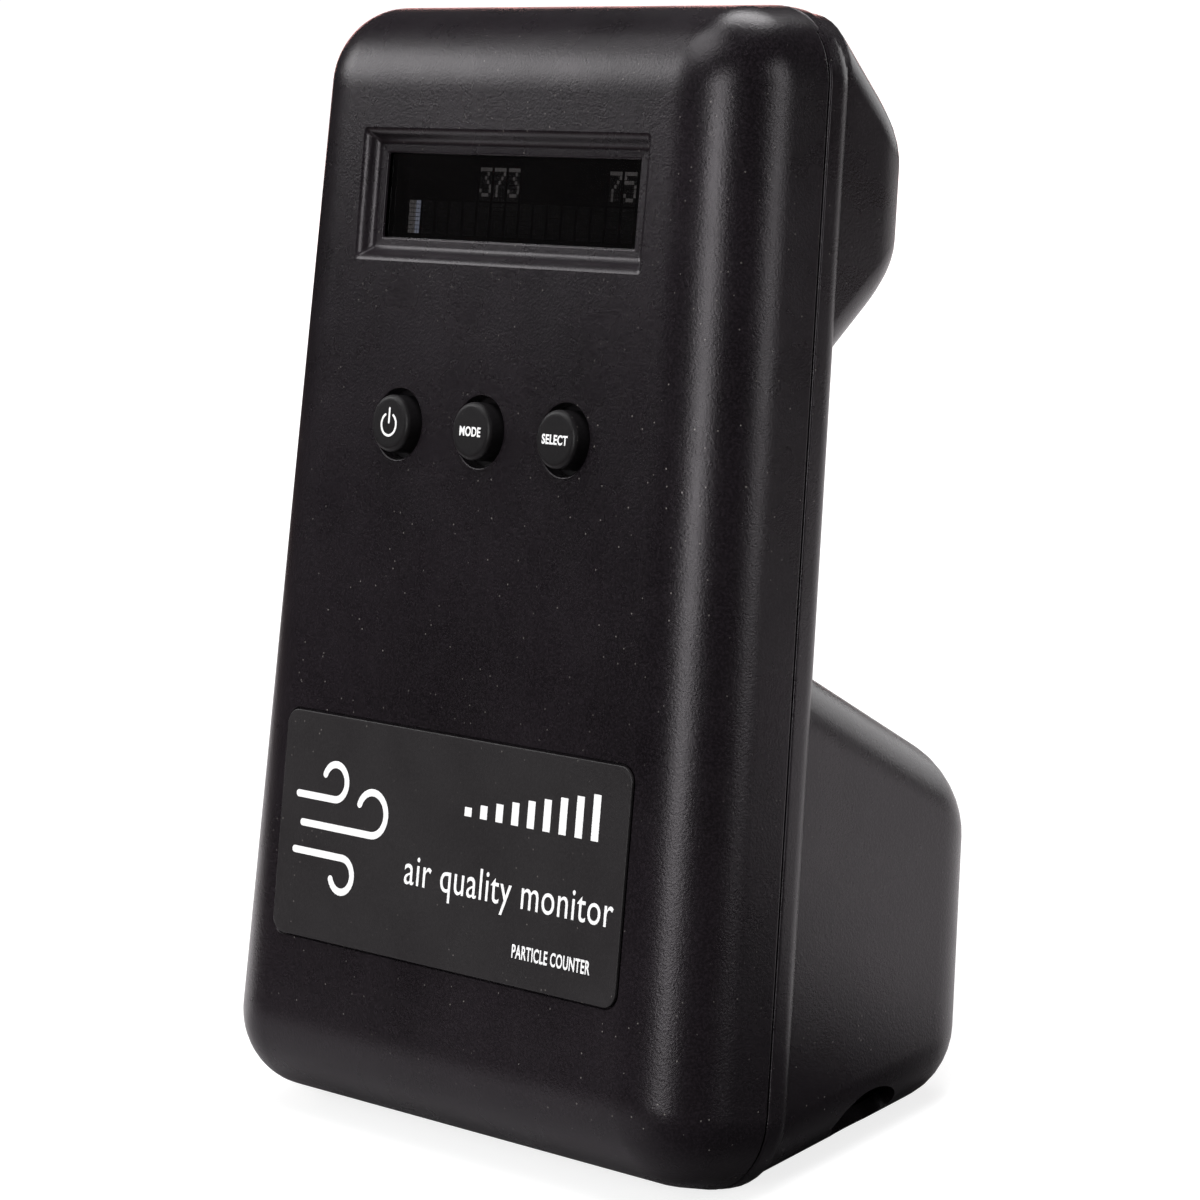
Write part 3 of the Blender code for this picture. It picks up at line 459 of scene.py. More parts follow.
def smooth(made, angle=32.0, weighted=True):
    """Smooth shading with crisp edges, and flats that stay flat beside small bends."""
    made.data.shade_smooth()
    made.data.set_sharp_from_angle(angle=math.radians(angle))
    if weighted:
        normals = made.modifiers.new("normals", "WEIGHTED_NORMAL")
        normals.keep_sharp = True
        normals.weight = 70


def fit(made, material, body="case", replaces=()):
    """Give a piece its finish, set it in its place on the leaning case and fix it there."""
    made.data.transform(CASE)
    made.matrix_world = Matrix.Identity(4)
    made.data.materials.clear()
    made.data.materials.append(material)
    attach(made, body)
    if replaces:
        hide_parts(*replaces)


SIDE_DRAFT = math.radians(7)
rounding_end = FACE_ROUNDING * (1 - math.sin(SIDE_DRAFT))
drawn_in = (SEAM - SEAM_LIP - rounding_end) * math.tan(SIDE_DRAFT)
flat_start = FACE_ROUNDING * math.cos(SIDE_DRAFT) + drawn_in
rings = [case_ring(0.0, flat_start + 0.0010)]
for turn in arc(14, 0.0, 90.0 - math.degrees(SIDE_DRAFT)):
    rings.append(case_ring(FACE_ROUNDING * (1 - math.cos(turn)),
                           flat_start - FACE_ROUNDING * math.sin(turn)))
rings.append(case_ring(SEAM - SEAM_LIP, 0.0))
for turn in arc(3)[1:]:
    rings.append(case_ring(SEAM - SEAM_LIP * (1 - math.sin(turn)),
                           SEAM_LIP * (1 - math.cos(turn))))
inner_rounding = FACE_ROUNDING - WALL
rings.append(case_ring(SEAM, WALL))
for turn in arc(8, 90.0, 0.0):
    rings.append(case_ring(WALL + inner_rounding * (1 - math.cos(turn)),
                           FACE_ROUNDING - inner_rounding * math.sin(turn)))
rings.append(case_ring(WALL, FACE_ROUNDING + 0.0010))
mesh = bmesh.new()
loft(mesh, rings)
front_shell = stand_in("front_case", mesh)

posts = bmesh.new()
for places, radius, end, sides, _, _ in POSTS:
    for place in places:
        add_turned(posts, ((0.0, radius), (end, radius)), place, sides)
post_shapes = stand_in("posts", posts)
core = bmesh.new()
rings = []
for turn in arc(8):
    rings.append(case_ring(SKIN + (FACE_ROUNDING - SKIN) * (1 - math.cos(turn)),
                           FACE_ROUNDING - (FACE_ROUNDING - SKIN) * math.sin(turn)))
rings.append(case_ring(SEAM + 0.005, SKIN))
loft(core, rings)
shape_with(post_shapes, stand_in("core", core), "INTERSECT")
shape_with(front_shell, post_shapes, "UNION")

# display recess: four bevels that meet in mitred corners and round softly into the face
window_low, window_high = measured("display_window")
DISPLAY_CENTRE = (window_low.z + window_high.z) / 2
WINDOW = (0.0584, 0.0132)
LEDGE = (0.0037, 0.00345)


def window_ring(depth, share, steps=3):
    """The recess's outline, from the window's edge (share 0) out to the face (share 1)."""
    half_x, half_z = WINDOW[0] / 2 + LEDGE[0] * share, WINDOW[1] / 2 + LEDGE[1] * share
    radius = 0.0003 + 0.0004 * min(max(share, 0.0), 1.0)
    corners = [(side * half_x, DISPLAY_CENTRE + rise * half_z, radius)
               for side, rise in ((-1, -1), (1, -1), (1, 1), (-1, 1))]
    return [Vector((point.x, depth, point.y)) for point in rounded(corners, steps)]


def bent(start, corner, end, steps):
    """Points (depth, share) that turn a corner in one smooth bend."""
    points = []
    for step in range(steps + 1):
        t = step / steps
        points.append([start[axis] * (1 - t) ** 2 + 2 * corner[axis] * t * (1 - t)
                       + end[axis] * t * t for axis in range(2)])
    return points


LEDGE_FRONT, LEDGE_BACK = 0.00195, 0.00197
section = [(0.0060, 0.0), (0.00255, 0.0)]
section += bent((LEDGE_BACK + 0.00022, 0.03), (LEDGE_BACK, 0.05), (LEDGE_BACK, 0.11), 3)
section += bent((LEDGE_FRONT, 0.38), (LEDGE_FRONT, 0.60), (LEDGE_FRONT * 0.46, 0.79), 9)
section += bent((LEDGE_FRONT * 0.46, 0.79), (0.0, 0.96), (-0.00001, 1.17), 8)[1:]
rings = [window_ring(*point) for point in section + [(-0.0010, 1.17)]]
mesh = bmesh.new()
loft(mesh, rings)
shape_with(front_shell, stand_in("display_recess", mesh), "DIFFERENCE")

# name plate seat, key holes with a small lip, and pilot holes in the posts
plate_low, plate_high = measured("name_plate")
PLATE_CENTRE = (plate_low.z + plate_high.z) / 2
PLATE_HALF = (plate_high.x, (plate_high.z - plate_low.z) / 2)


def plate_ring(depth, grow, radius, steps=8):
    """The name plate's outline at one depth, grown by a margin."""
    half_x, half_z = PLATE_HALF[0] + grow, PLATE_HALF[1] + grow
    corners = [(side * half_x, PLATE_CENTRE + rise * half_z, radius)
               for side, rise in ((-1, -1), (1, -1), (1, 1), (-1, 1))]
    return [Vector((point.x, depth, point.y)) for point in rounded(corners, steps)]


PLATE_LIP = 0.00012
mesh = bmesh.new()
loft(mesh, [plate_ring(-0.0010, GAP + PLATE_LIP, 0.0029),
            plate_ring(-0.00001, GAP + PLATE_LIP, 0.0029),
            plate_ring(PLATE_LIP, GAP, 0.0028), plate_ring(0.0006, GAP, 0.0028)])
shape_with(front_shell, stand_in("plate_seat", mesh), "DIFFERENCE")

key_places = {}
for key in ("power", "mode", "select"):
    low, high = measured(key + "_button")
    key_places[key] = ((low.x + high.x) / 2, (low.z + high.z) / 2)
KEY_HOLE = 0.0056
KEY_LIP = 0.0003
holes = bmesh.new()
for place in key_places.values():
    profile = [(-0.0010, KEY_HOLE + KEY_LIP)]
    for turn in arc(4):
        profile.append((KEY_LIP * (1 - math.cos(turn)) - 0.00001,
                        KEY_HOLE + KEY_LIP * (1 - math.sin(turn))))
    profile.append((0.0050, KEY_HOLE))
    add_turned(holes, profile, place, 64)
for places, _, _, _, start, radius in POSTS:
    for place in places:
        add_turned(holes, ((start, radius), (0.02, radius)), place, 20)
shape_with(front_shell, stand_in("front_holes", holes), "DIFFERENCE")
smooth(front_shell)
fit(front_shell, case_black, replaces=("front_shell",))

# ---------------------------------------------------------------- rear shell
# The rear half in the same black ABS: a shallow rim, a lower bulge over the fan and an upper
# bulge with the intake slots, with a hand-deep waist between. A tongue behind the seam
# keeps light and dust out.
REAR_START = measured("rear_shell")[0].y
WAIST = 0.0240
RIM_ROUNDING = 0.0035
BULGE_INSET = 0.0006
BULGE_DRAFT = math.tan(math.radians(2.5))
BASE_START = 0.0195
BULGE_START = 0.0190
LOWER_DEPTH = 0.0665
UPPER_DEPTH = 0.0405
BACK_TAPER = 0.0010


def base_height(depth):
    return (depth - BASE_START) * math.tan(lean)


LOWER_PROFILE = ((BULGE_START, base_height(BULGE_START), 0.0005),
                 (LOWER_DEPTH, base_height(LOWER_DEPTH), 0.0120),
                 (LOWER_DEPTH, 0.0637, 0.0165), (BULGE_START, 0.0829, 0.0005))
UPPER_PROFILE = ((BULGE_START, 0.1176, 0.0005), (UPPER_DEPTH, 0.1388, 0.0120),
                 (UPPER_DEPTH, 0.1611, 0.0150), (BULGE_START, 0.1814, 0.0005))


def set_in(corners, inset):
    """The same polygon with every side moved inwards."""
    count = len(corners)
    centre = sum((Vector(corner[:2]) for corner in corners), Vector((0, 0))) / count
    lines = []
    for index, corner in enumerate(corners):
        start = Vector(corner[:2])
        along = (Vector(corners[(index + 1) % count][:2]) - start).normalized()
        inward = Vector((-along.y, along.x))
        if inward.dot(centre - start) < 0:
            inward = -inward
        lines.append((start + inward * inset, along))
    moved = []
    for index, corner in enumerate(corners):
        (first, along_first), (second, along_second) = lines[index - 1], lines[index]
        reach = (second - first).cross(along_second) / along_first.cross(along_second)
        point = first + along_first * reach
        moved.append((point.x, point.y, max(corner[2] - inset, 0.0004)))
    return moved


def span_at(outline, depth):
    """Lowest and highest point of a closed side profile at one depth."""
    heights = []
    for first, second in zip(outline, outline[1:] + outline[:1]):
        low, high = sorted((first, second), key=lambda point: point.x)
        if low.x <= depth <= high.x:
            share = (depth - low.x) / max(high.x - low.x, 1e-9)
            heights.append(low.y + (high.y - low.y) * share)
            if high.x - low.x < 1e-7:
                heights.append(high.y)
    return min(heights), max(heights)


def bulge_rings(profile, side_rounding, wall):
    """Sections of a bulge from inside the rim to its back, shrinking round the back edges."""
    corners = set_in(profile, wall) if wall else profile
    outline = rounded(corners, 24)
    start = BULGE_START + wall
    end = max(point.x for point in outline)
    side_rounding -= wall
    stops = [start, 0.0216]
    turning = max(end - 0.0165, 0.0232)
    stops += [0.0216 + (turning - 0.0216) * step / 8 for step in range(1, 9)]
    stops += [end - (end - turning) * (1 - math.sin(turn)) for turn in arc(18)[1:]]
    stops[-1] = end - 1e-7
    rings = []
    for depth in stops:
        low, high = span_at(outline, depth)
        low = max(low, BULGE_INSET + wall)
        high = min(high, CASE_HEIGHT - BULGE_INSET - wall)
        into_turn = max(depth - (end - side_rounding), 0.0) / side_rounding
        left = math.sqrt(max(1 - into_turn ** 2, 0.0))
        drawn_in = (BULGE_INSET + wall + BULGE_DRAFT * (depth - SEAM)
                    + side_rounding * (1 - left))
        radius = 0.0028 + (side_rounding + 0.0016 - 0.0028) * left
        corner_list = [(side * (half_width(z) - drawn_in), z, radius)
                       for side, z in ((-1, low), (1, low), (1, high), (-1, high))]
        tilt = BACK_TAPER * (depth - start) / (end - start) if profile is LOWER_PROFILE else 0.0
        rings.append([Vector((point.x, depth - tilt * min(max((point.y - 0.0139) / 0.05, 0), 1),
                              point.y)) for point in rounded(corner_list, 9)])
    return rings


def bulges(wall):
    """Both bulges as one solid, or their hollows when wall is given."""
    mesh = bmesh.new()
    loft(mesh, bulge_rings(LOWER_PROFILE, 0.0100, wall))
    lower = stand_in("lower_bulge", mesh)
    mesh = bmesh.new()
    loft(mesh, bulge_rings(UPPER_PROFILE, 0.0085, wall))
    shape_with(lower, stand_in("upper_bulge", mesh), "UNION")
    return lower


def rim_ring(depth, inset):
    """The rear shell's rim at one depth, set in by inset."""
    return case_ring(depth, inset, OUTLINE_RADIUS - inset)


rings = [rim_ring(REAR_START, WALL), rim_ring(REAR_START, SEAM_LIP)]
for turn in arc(3)[1:]:
    rings.append(rim_ring(REAR_START + SEAM_LIP * (1 - math.cos(turn)),
                          SEAM_LIP * (1 - math.sin(turn))))
for turn in arc(8, 90.0, 0.0):
    rings.append(rim_ring(WAIST - RIM_ROUNDING * (1 - math.cos(turn)),
                          RIM_ROUNDING * (1 - math.sin(turn))))
mesh = bmesh.new()
loft(mesh, rings)
rear_shell = stand_in("rear_case", mesh)
mesh = bmesh.new()
ground = add_box(mesh, (-0.1, -0.1, -0.05), (0.1, 0.1, 0.0001))
bmesh.ops.rotate(mesh, verts=ground, matrix=Matrix.Rotation(lean, 3, "X"))
bmesh.ops.translate(mesh, verts=ground, vec=(0.0, BASE_START, 0.0))
shape_with(rear_shell, stand_in("ground", mesh), "DIFFERENCE")
shape_with(rear_shell, bulges(0.0), "UNION")
mesh = bmesh.new()
loft(mesh, [rim_ring(REAR_START - 0.005, WALL), rim_ring(WAIST - WALL - 0.0012, WALL),
            rim_ring(WAIST - WALL - 0.0004, WALL + 0.0004),
            rim_ring(WAIST - WALL, WALL + 0.0012)])
shape_with(rear_shell, stand_in("rim_cavity", mesh), "DIFFERENCE")
shape_with(rear_shell, bulges(WALL), "DIFFERENCE")

# an oval opening low on each side, across the edge between side and underside
OVAL_PLACE = (0.0515, 0.0430, 0.0115)
OVAL_SIZE = (0.0095, 0.0145, 0.0120)
OVAL_TILT = math.radians(45)
for side in (-1, 1):
    mesh = bmesh.new()
    add_turned(mesh, ((-0.5, 0.5), (0.5, 0.5)), (0.0, 0.0), 48)
    turn = (Matrix.Rotation(lean, 3, "X") @ Matrix.Rotation(-side * OVAL_TILT, 3, "Y")
            @ Matrix.Diagonal(OVAL_SIZE) @ Matrix.Rotation(math.radians(90), 3, "X"))
    place = Vector((side * OVAL_PLACE[0], OVAL_PLACE[1], OVAL_PLACE[2]))
    for vertex in mesh.verts:
        vertex.co = turn @ vertex.co + place
    shape_with(rear_shell, stand_in("oval", mesh), "DIFFERENCE")

# screw wells, fan standoffs and the bores through them
fan_low, fan_high = measured("fan_frame")
FAN = ((fan_low.x + fan_high.x) / 2, (fan_low.z + fan_high.z) / 2)
FAN_BACK = fan_high.y
FAN_SCREWS = [(FAN[0] + side * 0.016, FAN[1] + rise * 0.016)
              for side in (-1, 1) for rise in (-1, 1)]
wells, seats, bores = bmesh.new(), bmesh.new(), bmesh.new()
for place in CASE_POSTS:
    add_turned(wells, ((REAR_START, 0.0048), (0.06, 0.0048)), place, 32)
    add_turned(seats, ((REAR_START, 0.0048), (REAR_START + 0.0045, 0.0048)), place, 32)
    add_turned(bores, ((0.0, 0.0018), (0.0206, 0.0018), (0.0206, 0.0034), (0.08, 0.0034)),
               place, 32)
wells = stand_in("wells", wells)
shape_with(wells, bulges(SKIN), "INTERSECT")
shape_with(rear_shell, wells, "UNION")
for place in FAN_SCREWS:
    add_turned(seats, ((FAN_BACK + GAP, 0.0031), (FAN_BACK + 0.0034, 0.0031)), place, 24)
    add_turned(bores, ((FAN_BACK - 0.001, 0.0018), (0.0646, 0.0018), (0.0646, 0.0032),
                       (0.0800, 0.0032)), place, 32)
shape_with(rear_shell, stand_in("seats", seats), "UNION")
shape_with(rear_shell, stand_in("bores", bores), "DIFFERENCE")

# intake slots above, exhaust slots behind the fan, and the jack's hole
SLOT_WIDTH = 0.0024


def add_slot(mesh, x, z, along, upright_slot, front, rear, steps=8):
    """A slot with round ends: along is half its straight length plus its end radius."""
    radius = SLOT_WIDTH / 2 - 0.00001
    size = (SLOT_WIDTH / 2, along) if upright_slot else (along, SLOT_WIDTH / 2)
    corners = [(x + side * size[0], z + rise * size[1], radius)
               for side, rise in ((-1, -1), (1, -1), (1, 1), (-1, 1))]
    outline = rounded(corners, steps)
    loft(mesh, [[Vector((point.x, depth, point.y)) for point in outline]
                for depth in (front, rear)])


THROUGH = (LOWER_DEPTH - 0.006, LOWER_DEPTH + 0.01)
slots = bmesh.new()
for index in range(-4, 5):
    add_slot(slots, index * 0.0070, 0.1490, 0.0140, True, 0.0320, 0.06)
for index in range(-3, 4):
    rise = index * 0.0045
    reach = 0.0075 if abs(index) == 3 else math.sqrt(0.0160 ** 2 - rise ** 2)
    add_slot(slots, FAN[0], FAN[1] + rise, reach, False, THROUGH[0], THROUGH[1])
jack_low, jack_high = measured("dc_jack")
JACK = ((jack_low.x + jack_high.x) / 2, (jack_low.z + jack_high.z) / 2)
add_turned(slots, ((THROUGH[0], 0.0040), (THROUGH[1], 0.0040)), JACK, 40)
shape_with(rear_shell, stand_in("slots", slots), "DIFFERENCE")
smooth(rear_shell)
fit(rear_shell, case_black, replaces=("rear_shell",))


def hoop(mesh, rings):
    """A closed band through rings of equal length, the last joined to the first."""
    loops = [[mesh.verts.new(point) for point in ring] for ring in rings]
    for first, second in zip(loops, loops[1:] + loops[:1]):
        for index in range(len(first)):
            after = (index + 1) % len(first)
            mesh.faces.new((first[index], first[after], second[after], second[index]))
    bmesh.ops.recalc_face_normals(mesh, faces=mesh.faces[:])


mesh = bmesh.new()
hoop(mesh, [rim_ring(SEAM - 0.0016, 0.0022), rim_ring(SEAM - 0.0016, 0.0013),
            rim_ring(REAR_START + 0.0004, 0.0013), rim_ring(REAR_START + 0.0004, 0.0022)])
tongue = stand_in("seam_tongue", mesh)
smooth(tongue, weighted=False)
fit(tongue, case_black)

# ---------------------------------------------------------------- name plate
# A printed polyester film on a thin plate, stuck into its shallow seat. The print is plain
# white ink: a breeze sign, a row of level marks and two lines of plain words.
film = plastic("plate_film", (0.0125, 0.0112, 0.0120), (0.0195, 0.0180, 0.0188), 0.44,
               grain=2600.0, depth=0.00004, dust=0.55, spread=0.10)
ink = plastic("white_ink", (0.84, 0.84, 0.84), (0.90, 0.90, 0.90), 0.55, grain=3000.0,
              depth=0.00001, dust=0.0)
PLATE_EDGE = 0.00015
rings = [plate_ring(plate_high.y, -PLATE_EDGE, 0.0025 - PLATE_EDGE)]
rings.append(plate_ring(plate_high.y - PLATE_EDGE, 0.0, 0.0025))
for turn in arc(4):
    rings.append(plate_ring(plate_low.y + PLATE_EDGE * (1 - math.sin(turn)),
                            -PLATE_EDGE * (1 - math.cos(turn)), 0.0025))
rings.append(plate_ring(plate_low.y, -PLATE_EDGE - 0.0005, 0.0021))
mesh = bmesh.new()
loft(mesh, rings)
plate = stand_in("name_plate_film", mesh)
smooth(plate)
fit(plate, film, replaces=("name_plate",))
PRINT_THICKNESS = 0.00003


def add_ribbon(mesh, points, width, front, thickness=PRINT_THICKNESS):
    """A flat printed line along points (x, z), with round ends."""
    path = [Vector(point) for point in points]
    left, right = [], []
    for index, point in enumerate(path):
        ahead = path[min(index + 1, len(path) - 1)] - path[max(index - 1, 0)]
        side = Vector((-ahead.y, ahead.x)).normalized() * width / 2
        left.append(point + side)
        right.append(point - side)
    end_way = (path[-1] - path[-2]).normalized() * width / 2
    end_side = Vector((-end_way.y, end_way.x))
    start_way = (path[0] - path[1]).normalized() * width / 2
    start_side = Vector((-start_way.y, start_way.x))
    far = [path[-1] + end_way * math.sin(turn) + end_side * math.cos(turn)
           for turn in arc(6, 0.0, 180.0)[1:-1]]
    near = [path[0] + start_way * math.sin(turn) + start_side * math.cos(turn)
            for turn in arc(6, 0.0, 180.0)[1:-1]]
    strips = [(left[index], left[index + 1], right[index + 1], right[index])
              for index in range(len(path) - 1)]
    caps = [[left[-1]] + far + [right[-1]], [right[0]] + near + [left[0]]]
    for outline in list(strips) + caps:
        add_tile(mesh, outline, front, thickness)


def add_tile(mesh, outline, front, thickness=PRINT_THICKNESS):
    """A thin flat tile whose outline is a list of (x, z) points."""
    face = [mesh.verts.new((point[0], front, point[1])) for point in outline]
    rear = [mesh.verts.new((point[0], front + thickness, point[1])) for point in outline]
    made = [mesh.faces.new(face), mesh.faces.new(rear[::-1])]
    for index in range(len(face)):
        after = (index + 1) % len(face)
        made.append(mesh.faces.new((face[after], face[index], rear[index], rear[after])))
    bmesh.ops.recalc_face_normals(mesh, faces=made)


def printed_words(name, words, x, z, height, front, squeeze=1.0, align="LEFT", weight=0.0):
    """Words in the plain built-in typeface as a thin layer of ink on a surface."""
    text = bpy.data.curves.new(name, "FONT")
    text.body = words
    text.size = height
    text.align_x = align
    text.extrude = PRINT_THICKNESS / 2
    text.offset = weight
    text.space_character = 1.06
    text.resolution_u = 6
    made = bpy.data.objects.new(name, text)
    bpy.context.scene.collection.objects.link(made)
    bpy.context.view_layer.update()
    flat = bpy.data.meshes.new_from_object(made.evaluated_get(
        bpy.context.evaluated_depsgraph_get()))
    bpy.data.objects.remove(made)
    flat.transform(Matrix.Translation((x, front, z)) @ Matrix.Rotation(math.radians(90), 4, "X")
                   @ Matrix.Diagonal((squeeze, 1.0, 1.0, 1.0)))
    made = bpy.data.objects.new(name, flat)
    made.matrix_world = CASE
    bpy.context.scene.collection.objects.link(made)
    return made


plate_face = plate_low.y - PRINT_THICKNESS
mesh = bmesh.new()
for start, end, z, curl, turn_up in ((-0.0365, -0.0275, 0.0500, 0.0028, 1),
                                     (-0.0350, -0.0180, 0.0455, 0.0034, 1),
                                     (-0.0365, -0.0245, 0.0410, 0.0027, -1)):
    line = [(start, z), ((start + end) / 2, z), (end, z)]
    for turn in arc(20, 0.0, 250.0)[1:]:
        line.append((end + curl * math.sin(turn),
                     z + turn_up * curl * (1 - math.cos(turn))))
    add_ribbon(mesh, line, 0.00115, plate_face)
for index in range(9):
    x = 0.0040 + index * 0.0036
    tall = 0.0014 + 0.0007 * index
    add_tile(mesh, ((x, 0.0515), (x + 0.0016, 0.0515), (x + 0.0016, 0.0515 + tall),
                    (x, 0.0515 + tall)), plate_face)
signs = stand_in("plate_signs", mesh)
fit(signs, ink)
fit(printed_words("plate_words", "air quality monitor", -0.0092, 0.0392, 0.0070, plate_face,
                  0.85), ink)
fit(printed_words("plate_small_words", "PARTICLE COUNTER", 0.0348, 0.0316, 0.0029, plate_face,
                  0.62, "RIGHT", 0.00006), ink)

# ---------------------------------------------------------------- display
# A smoked acrylic window behind the bevelled opening, and behind it a two-line character
# display: black glass in a folded steel frame, with its lit dots just under the glass.
def clear(name, tint, roughness, weight=1.0):
    """A see-through plastic or glass with a faint smear in its gloss."""
    made = bpy.data.materials.new(name)
    made.use_nodes = True
    tree = made.node_tree
    shader = tree.nodes["Principled BSDF"]
    shader.inputs["IOR"].default_value = 1.49
    shader.inputs["Transmission Weight"].default_value = weight
    skin = tree.nodes.new("ShaderNodeGroup")
    skin.node_tree = grain_group
    skin.inputs["Dust"].default_value = 0.0
    tones = tree.nodes.new("ShaderNodeMix")
    tones.data_type = "RGBA"
    tones.inputs["A"].default_value = (*tint, 1.0)
    tones.inputs["B"].default_value = (*[value * 0.9 for value in tint], 1.0)
    tree.links.new(skin.outputs["Mottle"], tones.inputs["Factor"])
    tree.links.new(tones.outputs["Result"], shader.inputs["Base Color"])
    tree.links.new(remap(tree, skin.outputs["Shine"], 0.0, 1.0, roughness, roughness + 0.03),
                   shader.inputs["Roughness"])
    return made


smoked = clear("smoked_acrylic", (0.55, 0.53, 0.54), 0.03)
pane = cad["display_window"]
for holder in pane.material_slots:
    holder.material = smoked
display_black = plastic("display_black", (0.0008, 0.0006, 0.0006), (0.0030, 0.0008, 0.0008), 0.12,
                        grain=900.0, depth=0.000004, dust=0.0, specular=0.3)
for holder in cad["lcd_glass"].material_slots:
    holder.material = display_black


def glowing(name, colour, strength):
    """A lit display dot: dark when off, with a light that varies a little along the row."""
    made = plastic(name, (0.02, 0.02, 0.02), (0.03, 0.03, 0.03), 0.4, dust=0.0)
    tree = made.node_tree
    shader = tree.nodes["Principled BSDF"]
    skin = next(node for node in tree.nodes if node.type == "GROUP")
    tones = tree.nodes.new("ShaderNodeMix")
    tones.data_type = "RGBA"
    tones.inputs["A"].default_value = (*colour, 1.0)
    tones.inputs["B"].default_value = (*[value * 0.6 for value in colour], 1.0)
    tree.links.new(skin.outputs["Shine"], tones.inputs["Factor"])
    tree.links.new(tones.outputs["Result"], shader.inputs["Emission Color"])
    shader.inputs["Emission Strength"].default_value = strength
    return made


lit_dot = glowing("lit_dot", (0.62, 0.60, 0.58), 0.11)
lit_bar = glowing("lit_bar", (0.55, 0.62, 0.78), 0.30)
rest_dot = plastic("resting_dot", (0.0006, 0.0008, 0.0008), (0.0012, 0.0014, 0.0014), 0.30,
                   dust=0.0, specular=0.2)
glass_front = measured("lcd_glass")[0].y
DOT_PITCH = (0.00055, 0.00066)
CELL_PITCH = (0.00330, 0.00548)
DOT = (0.00047, 0.00057)
LEFT = -(15 * CELL_PITCH[0] + 4 * DOT_PITCH[0] + DOT[0]) / 2
TOP = DISPLAY_CENTRE - 0.0004 + (CELL_PITCH[1] + 7 * DOT_PITCH[1] + DOT[1]) / 2
FIGURES = {"3": ("#####", "...#.", "..#..", "...#.", "....#", "#...#", ".###."),
           "7": ("#####", "....#", "...#.", "..#..", ".#...", ".#...", ".#..."),
           "5": ("#####", "#....", "####.", "....#", "....#", "#...#", ".###."),
           "bar": ("#####",) * 8}
SHOWN = {(5, 0): "3", (6, 0): "7", (7, 0): "3", (14, 0): "7", (15, 0): "5", (0, 1): "bar"}
dots, bars, resting = bmesh.new(), bmesh.new(), bmesh.new()
for column in range(16):
    for row in range(2):
        figure = SHOWN.get((column, row))
        if figure is None and row == 0:
            continue
        for across_dot in range(5):
            for down in range(8):
                x = LEFT + column * CELL_PITCH[0] + across_dot * DOT_PITCH[0]
                z = TOP - row * CELL_PITCH[1] - down * DOT_PITCH[1]
                outline = ((x, z), (x + DOT[0], z), (x + DOT[0], z - DOT[1]), (x, z - DOT[1]))
                lit_now = (figure is not None and down < len(FIGURES[figure])
                           and FIGURES[figure][down][across_dot] == "#")
                bright = figure == "bar" and across_dot > 2
                target = resting if not lit_now else bars if bright else dots
                add_tile(target, outline, glass_front - 0.00006, 0.00004)
for name, mesh, finish in (("lit_dots", dots, lit_dot), ("lit_bars", bars, lit_bar),
                           ("resting_dots", resting, rest_dot)):
    fit(stand_in(name, mesh), finish)

# ---------------------------------------------------------------- keys
# Three round rubber-coated caps in the face, each on its own switch. They are turned with a
# soft rim, and their signs are printed in white.
rubber = plastic("key_rubber", (0.0060, 0.0054, 0.0060), (0.0095, 0.0087, 0.0095), 0.42,
                 grain=2600.0, depth=0.00002, dust=0.15, specular=0.36)
SIGN_RADIUS = 0.00175
SIGN_LINE = 0.00038
KEY_RADIUS = 0.0045
KEY_ROUNDING = 0.0008
for key, place in key_places.items():
    low, high = measured(key + "_button")
    face = low.y
    profile = [(face, 0.0012), (face, KEY_RADIUS - KEY_ROUNDING - 0.0004)]
    for turn in arc(9):
        profile.append((face + KEY_ROUNDING * (1 - math.cos(turn)),
                        KEY_RADIUS - KEY_ROUNDING * (1 - math.sin(turn))))
    profile += [(0.0027, KEY_RADIUS), (0.0027, 0.0064), (0.0029, 0.0066), (0.0037, 0.0066),
                (0.0039, 0.0064), (0.0039, 0.0020), (high.y - 0.0002, 0.0020),
                (high.y, 0.0018)]
    mesh = bmesh.new()
    add_turned(mesh, profile, place, 64)
    cap = stand_in(key + "_cap", mesh)
    smooth(cap, 40.0)
    fit(cap, rubber, key + "_key", replaces=(key + "_button",))
    if key == "power":
        mesh = bmesh.new()
        ring = [(place[0] + SIGN_RADIUS * math.sin(turn),
                 place[1] - 0.0002 + SIGN_RADIUS * math.cos(turn))
                for turn in arc(36, 32.0, 328.0)]
        bar = [(place[0], place[1] + rise) for rise in (0.0001, 0.0012, 0.0023)]
        add_ribbon(mesh, ring, SIGN_LINE, face - PRINT_THICKNESS)
        add_ribbon(mesh, bar, SIGN_LINE, face - PRINT_THICKNESS)
        sign = stand_in("power_sign", mesh)
    else:
        sign = printed_words(key + "_word", key.upper(), place[0], place[1] - 0.00075, 0.0020,
                             face - PRINT_THICKNESS, 0.84, "CENTER", 0.00006)
    fit(sign, ink, key + "_key")

# ---------------------------------------------------------------- screws
# Zinc-plated pan-head screws with a cross recess, driven from the rear. The steel shows fine
# turning marks across the head.
def metal(name, dark, light, roughness, fine=2400.0, depth=0.000008):
    """Plated or bare metal: two near tones, faint marks and a varied gloss."""
    made = plastic(name, dark, light, roughness, fine, depth, 0.05, 0.14)
    made.node_tree.nodes["Principled BSDF"].inputs["Metallic"].default_value = 1.0
    return made


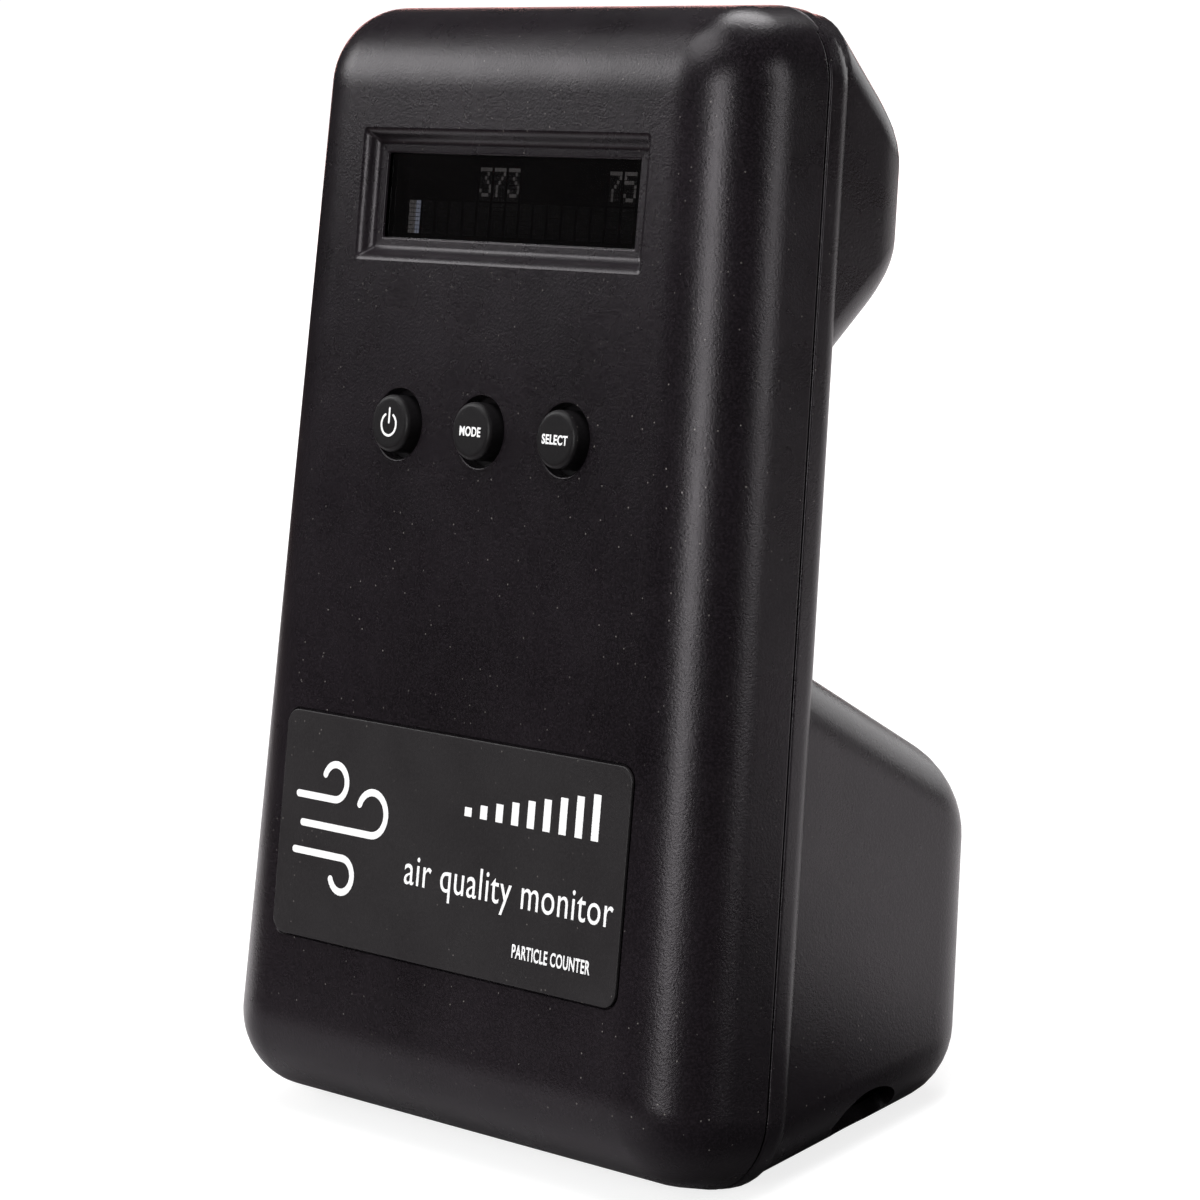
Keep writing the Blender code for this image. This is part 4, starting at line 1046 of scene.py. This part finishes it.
zinc = metal("zinc_steel", (0.46, 0.45, 0.43), (0.62, 0.61, 0.58), 0.34)
SCREWS = [kind + "_screw_" + str(number) for kind in ("case", "board", "display", "fan")
          for number in range(1, 5)]
for name in SCREWS:
    low, high = measured(name)
    x, z = (low.x + high.x) / 2, (low.z + high.z) / 2
    head = (high.x - low.x) / 2
    height = {"case": 0.0020, "fan": 0.0014}.get(name.split("_")[0], 0.0014)
    shank = head * 0.45
    seat = high.y - height
    profile = [(low.y, 0.0001), (low.y + shank, shank * 0.82)]
    depth = low.y + shank
    while depth + 0.0006 < seat:
        profile += [(depth + 0.0003, shank), (depth + 0.0006, shank * 0.82)]
        depth += 0.0006
    profile += [(seat, shank * 0.82), (seat, head - 0.0001), (seat + 0.0001, head)]
    for turn in arc(7)[:-1]:
        profile.append((seat + height * (0.35 + 0.65 * math.sin(turn)),
                        head * (0.35 + 0.65 * math.cos(turn))))
    profile.append((high.y, head * 0.30))
    mesh = bmesh.new()
    add_turned(mesh, profile, (x, z), 32)
    screw = stand_in(name + "_body", mesh)
    mesh = bmesh.new()
    wide, thin = head * 0.58, head * 0.13
    plus = ((thin, thin), (thin, wide), (-thin, wide), (-thin, thin), (-wide, thin),
            (-wide, -thin), (-thin, -thin), (-thin, -wide), (thin, -wide), (thin, -thin),
            (wide, -thin), (wide, thin))
    loft(mesh, [[Vector((x + u, depth, z + v)) for u, v in plus]
                for depth in (high.y - height * 0.62, high.y + 0.001)])
    shape_with(screw, stand_in("cross", mesh), "DIFFERENCE")
    smooth(screw)
    fit(screw, zinc, replaces=(name,))

# ---------------------------------------------------------------- fan, boards and optics
# What the case holds keeps its modelled shape: a black nylon-filled fan, green boards with
# their packages, the moulded chamber with its laser and detector, and the leads between.
board_green = plastic("board_green", (0.010, 0.060, 0.022), (0.016, 0.085, 0.034), 0.38,
                      grain=900.0, depth=0.00002, dust=0.15)
inner_black = plastic("inner_black", (0.016, 0.016, 0.017), (0.024, 0.024, 0.025), 0.50,
                      grain=1200.0, dust=0.3)
fan_black = plastic("fan_black", (0.014, 0.014, 0.015), (0.022, 0.022, 0.023), 0.42,
                    grain=1100.0, dust=0.5)
epoxy = plastic("chip_epoxy", (0.020, 0.020, 0.021), (0.030, 0.030, 0.031), 0.60, grain=3200.0,
                depth=0.00001, dust=0.05)
nylon = plastic("white_nylon", (0.62, 0.60, 0.54), (0.72, 0.70, 0.64), 0.48, grain=800.0,
                dust=0.05)
sleeve = plastic("can_sleeve", (0.020, 0.026, 0.060), (0.030, 0.036, 0.080), 0.35, dust=0.05)
wire_cover = plastic("wire_cover", (0.030, 0.030, 0.032), (0.050, 0.050, 0.052), 0.45,
                     grain=700.0, dust=0.05)
bare_steel = metal("bare_steel", (0.40, 0.40, 0.40), (0.55, 0.55, 0.54), 0.38)
bright_can = metal("bright_can", (0.66, 0.66, 0.67), (0.78, 0.78, 0.78), 0.30)
brass = metal("laser_brass", (0.62, 0.42, 0.16), (0.75, 0.54, 0.24), 0.30)
lens = clear("lens_glass", (0.92, 0.95, 0.96), 0.01)
FINISHES = {
    board_green: ("lcd_board", "main_board", "photodiode_board"),
    inner_black: ("sensor_chamber", "chamber_lid", "light_trap", "lcd_header", "dc_jack",
                  "power_switch", "mode_switch", "select_switch"),
    fan_black: ("fan_frame", "fan_rotor"),
    epoxy: ("microcontroller", "voltage_regulator", "photodiode"),
    nylon: ("fan_connector", "laser_connector", "detector_connector", "power_connector",
            "power_switch_plunger", "mode_switch_plunger", "select_switch_plunger"),
    sleeve: ("capacitor_1", "capacitor_2"),
    wire_cover: ("fan_lead", "laser_lead", "detector_lead", "power_lead"),
    bare_steel: ("lcd_frame", "fan_shaft"),
    bright_can: ("crystal",),
    brass: ("laser_module",),
    lens: ("laser_lens",)}
for finish, names in FINISHES.items():
    for name in names:
        for holder in cad[name].material_slots:
            holder.material = finish
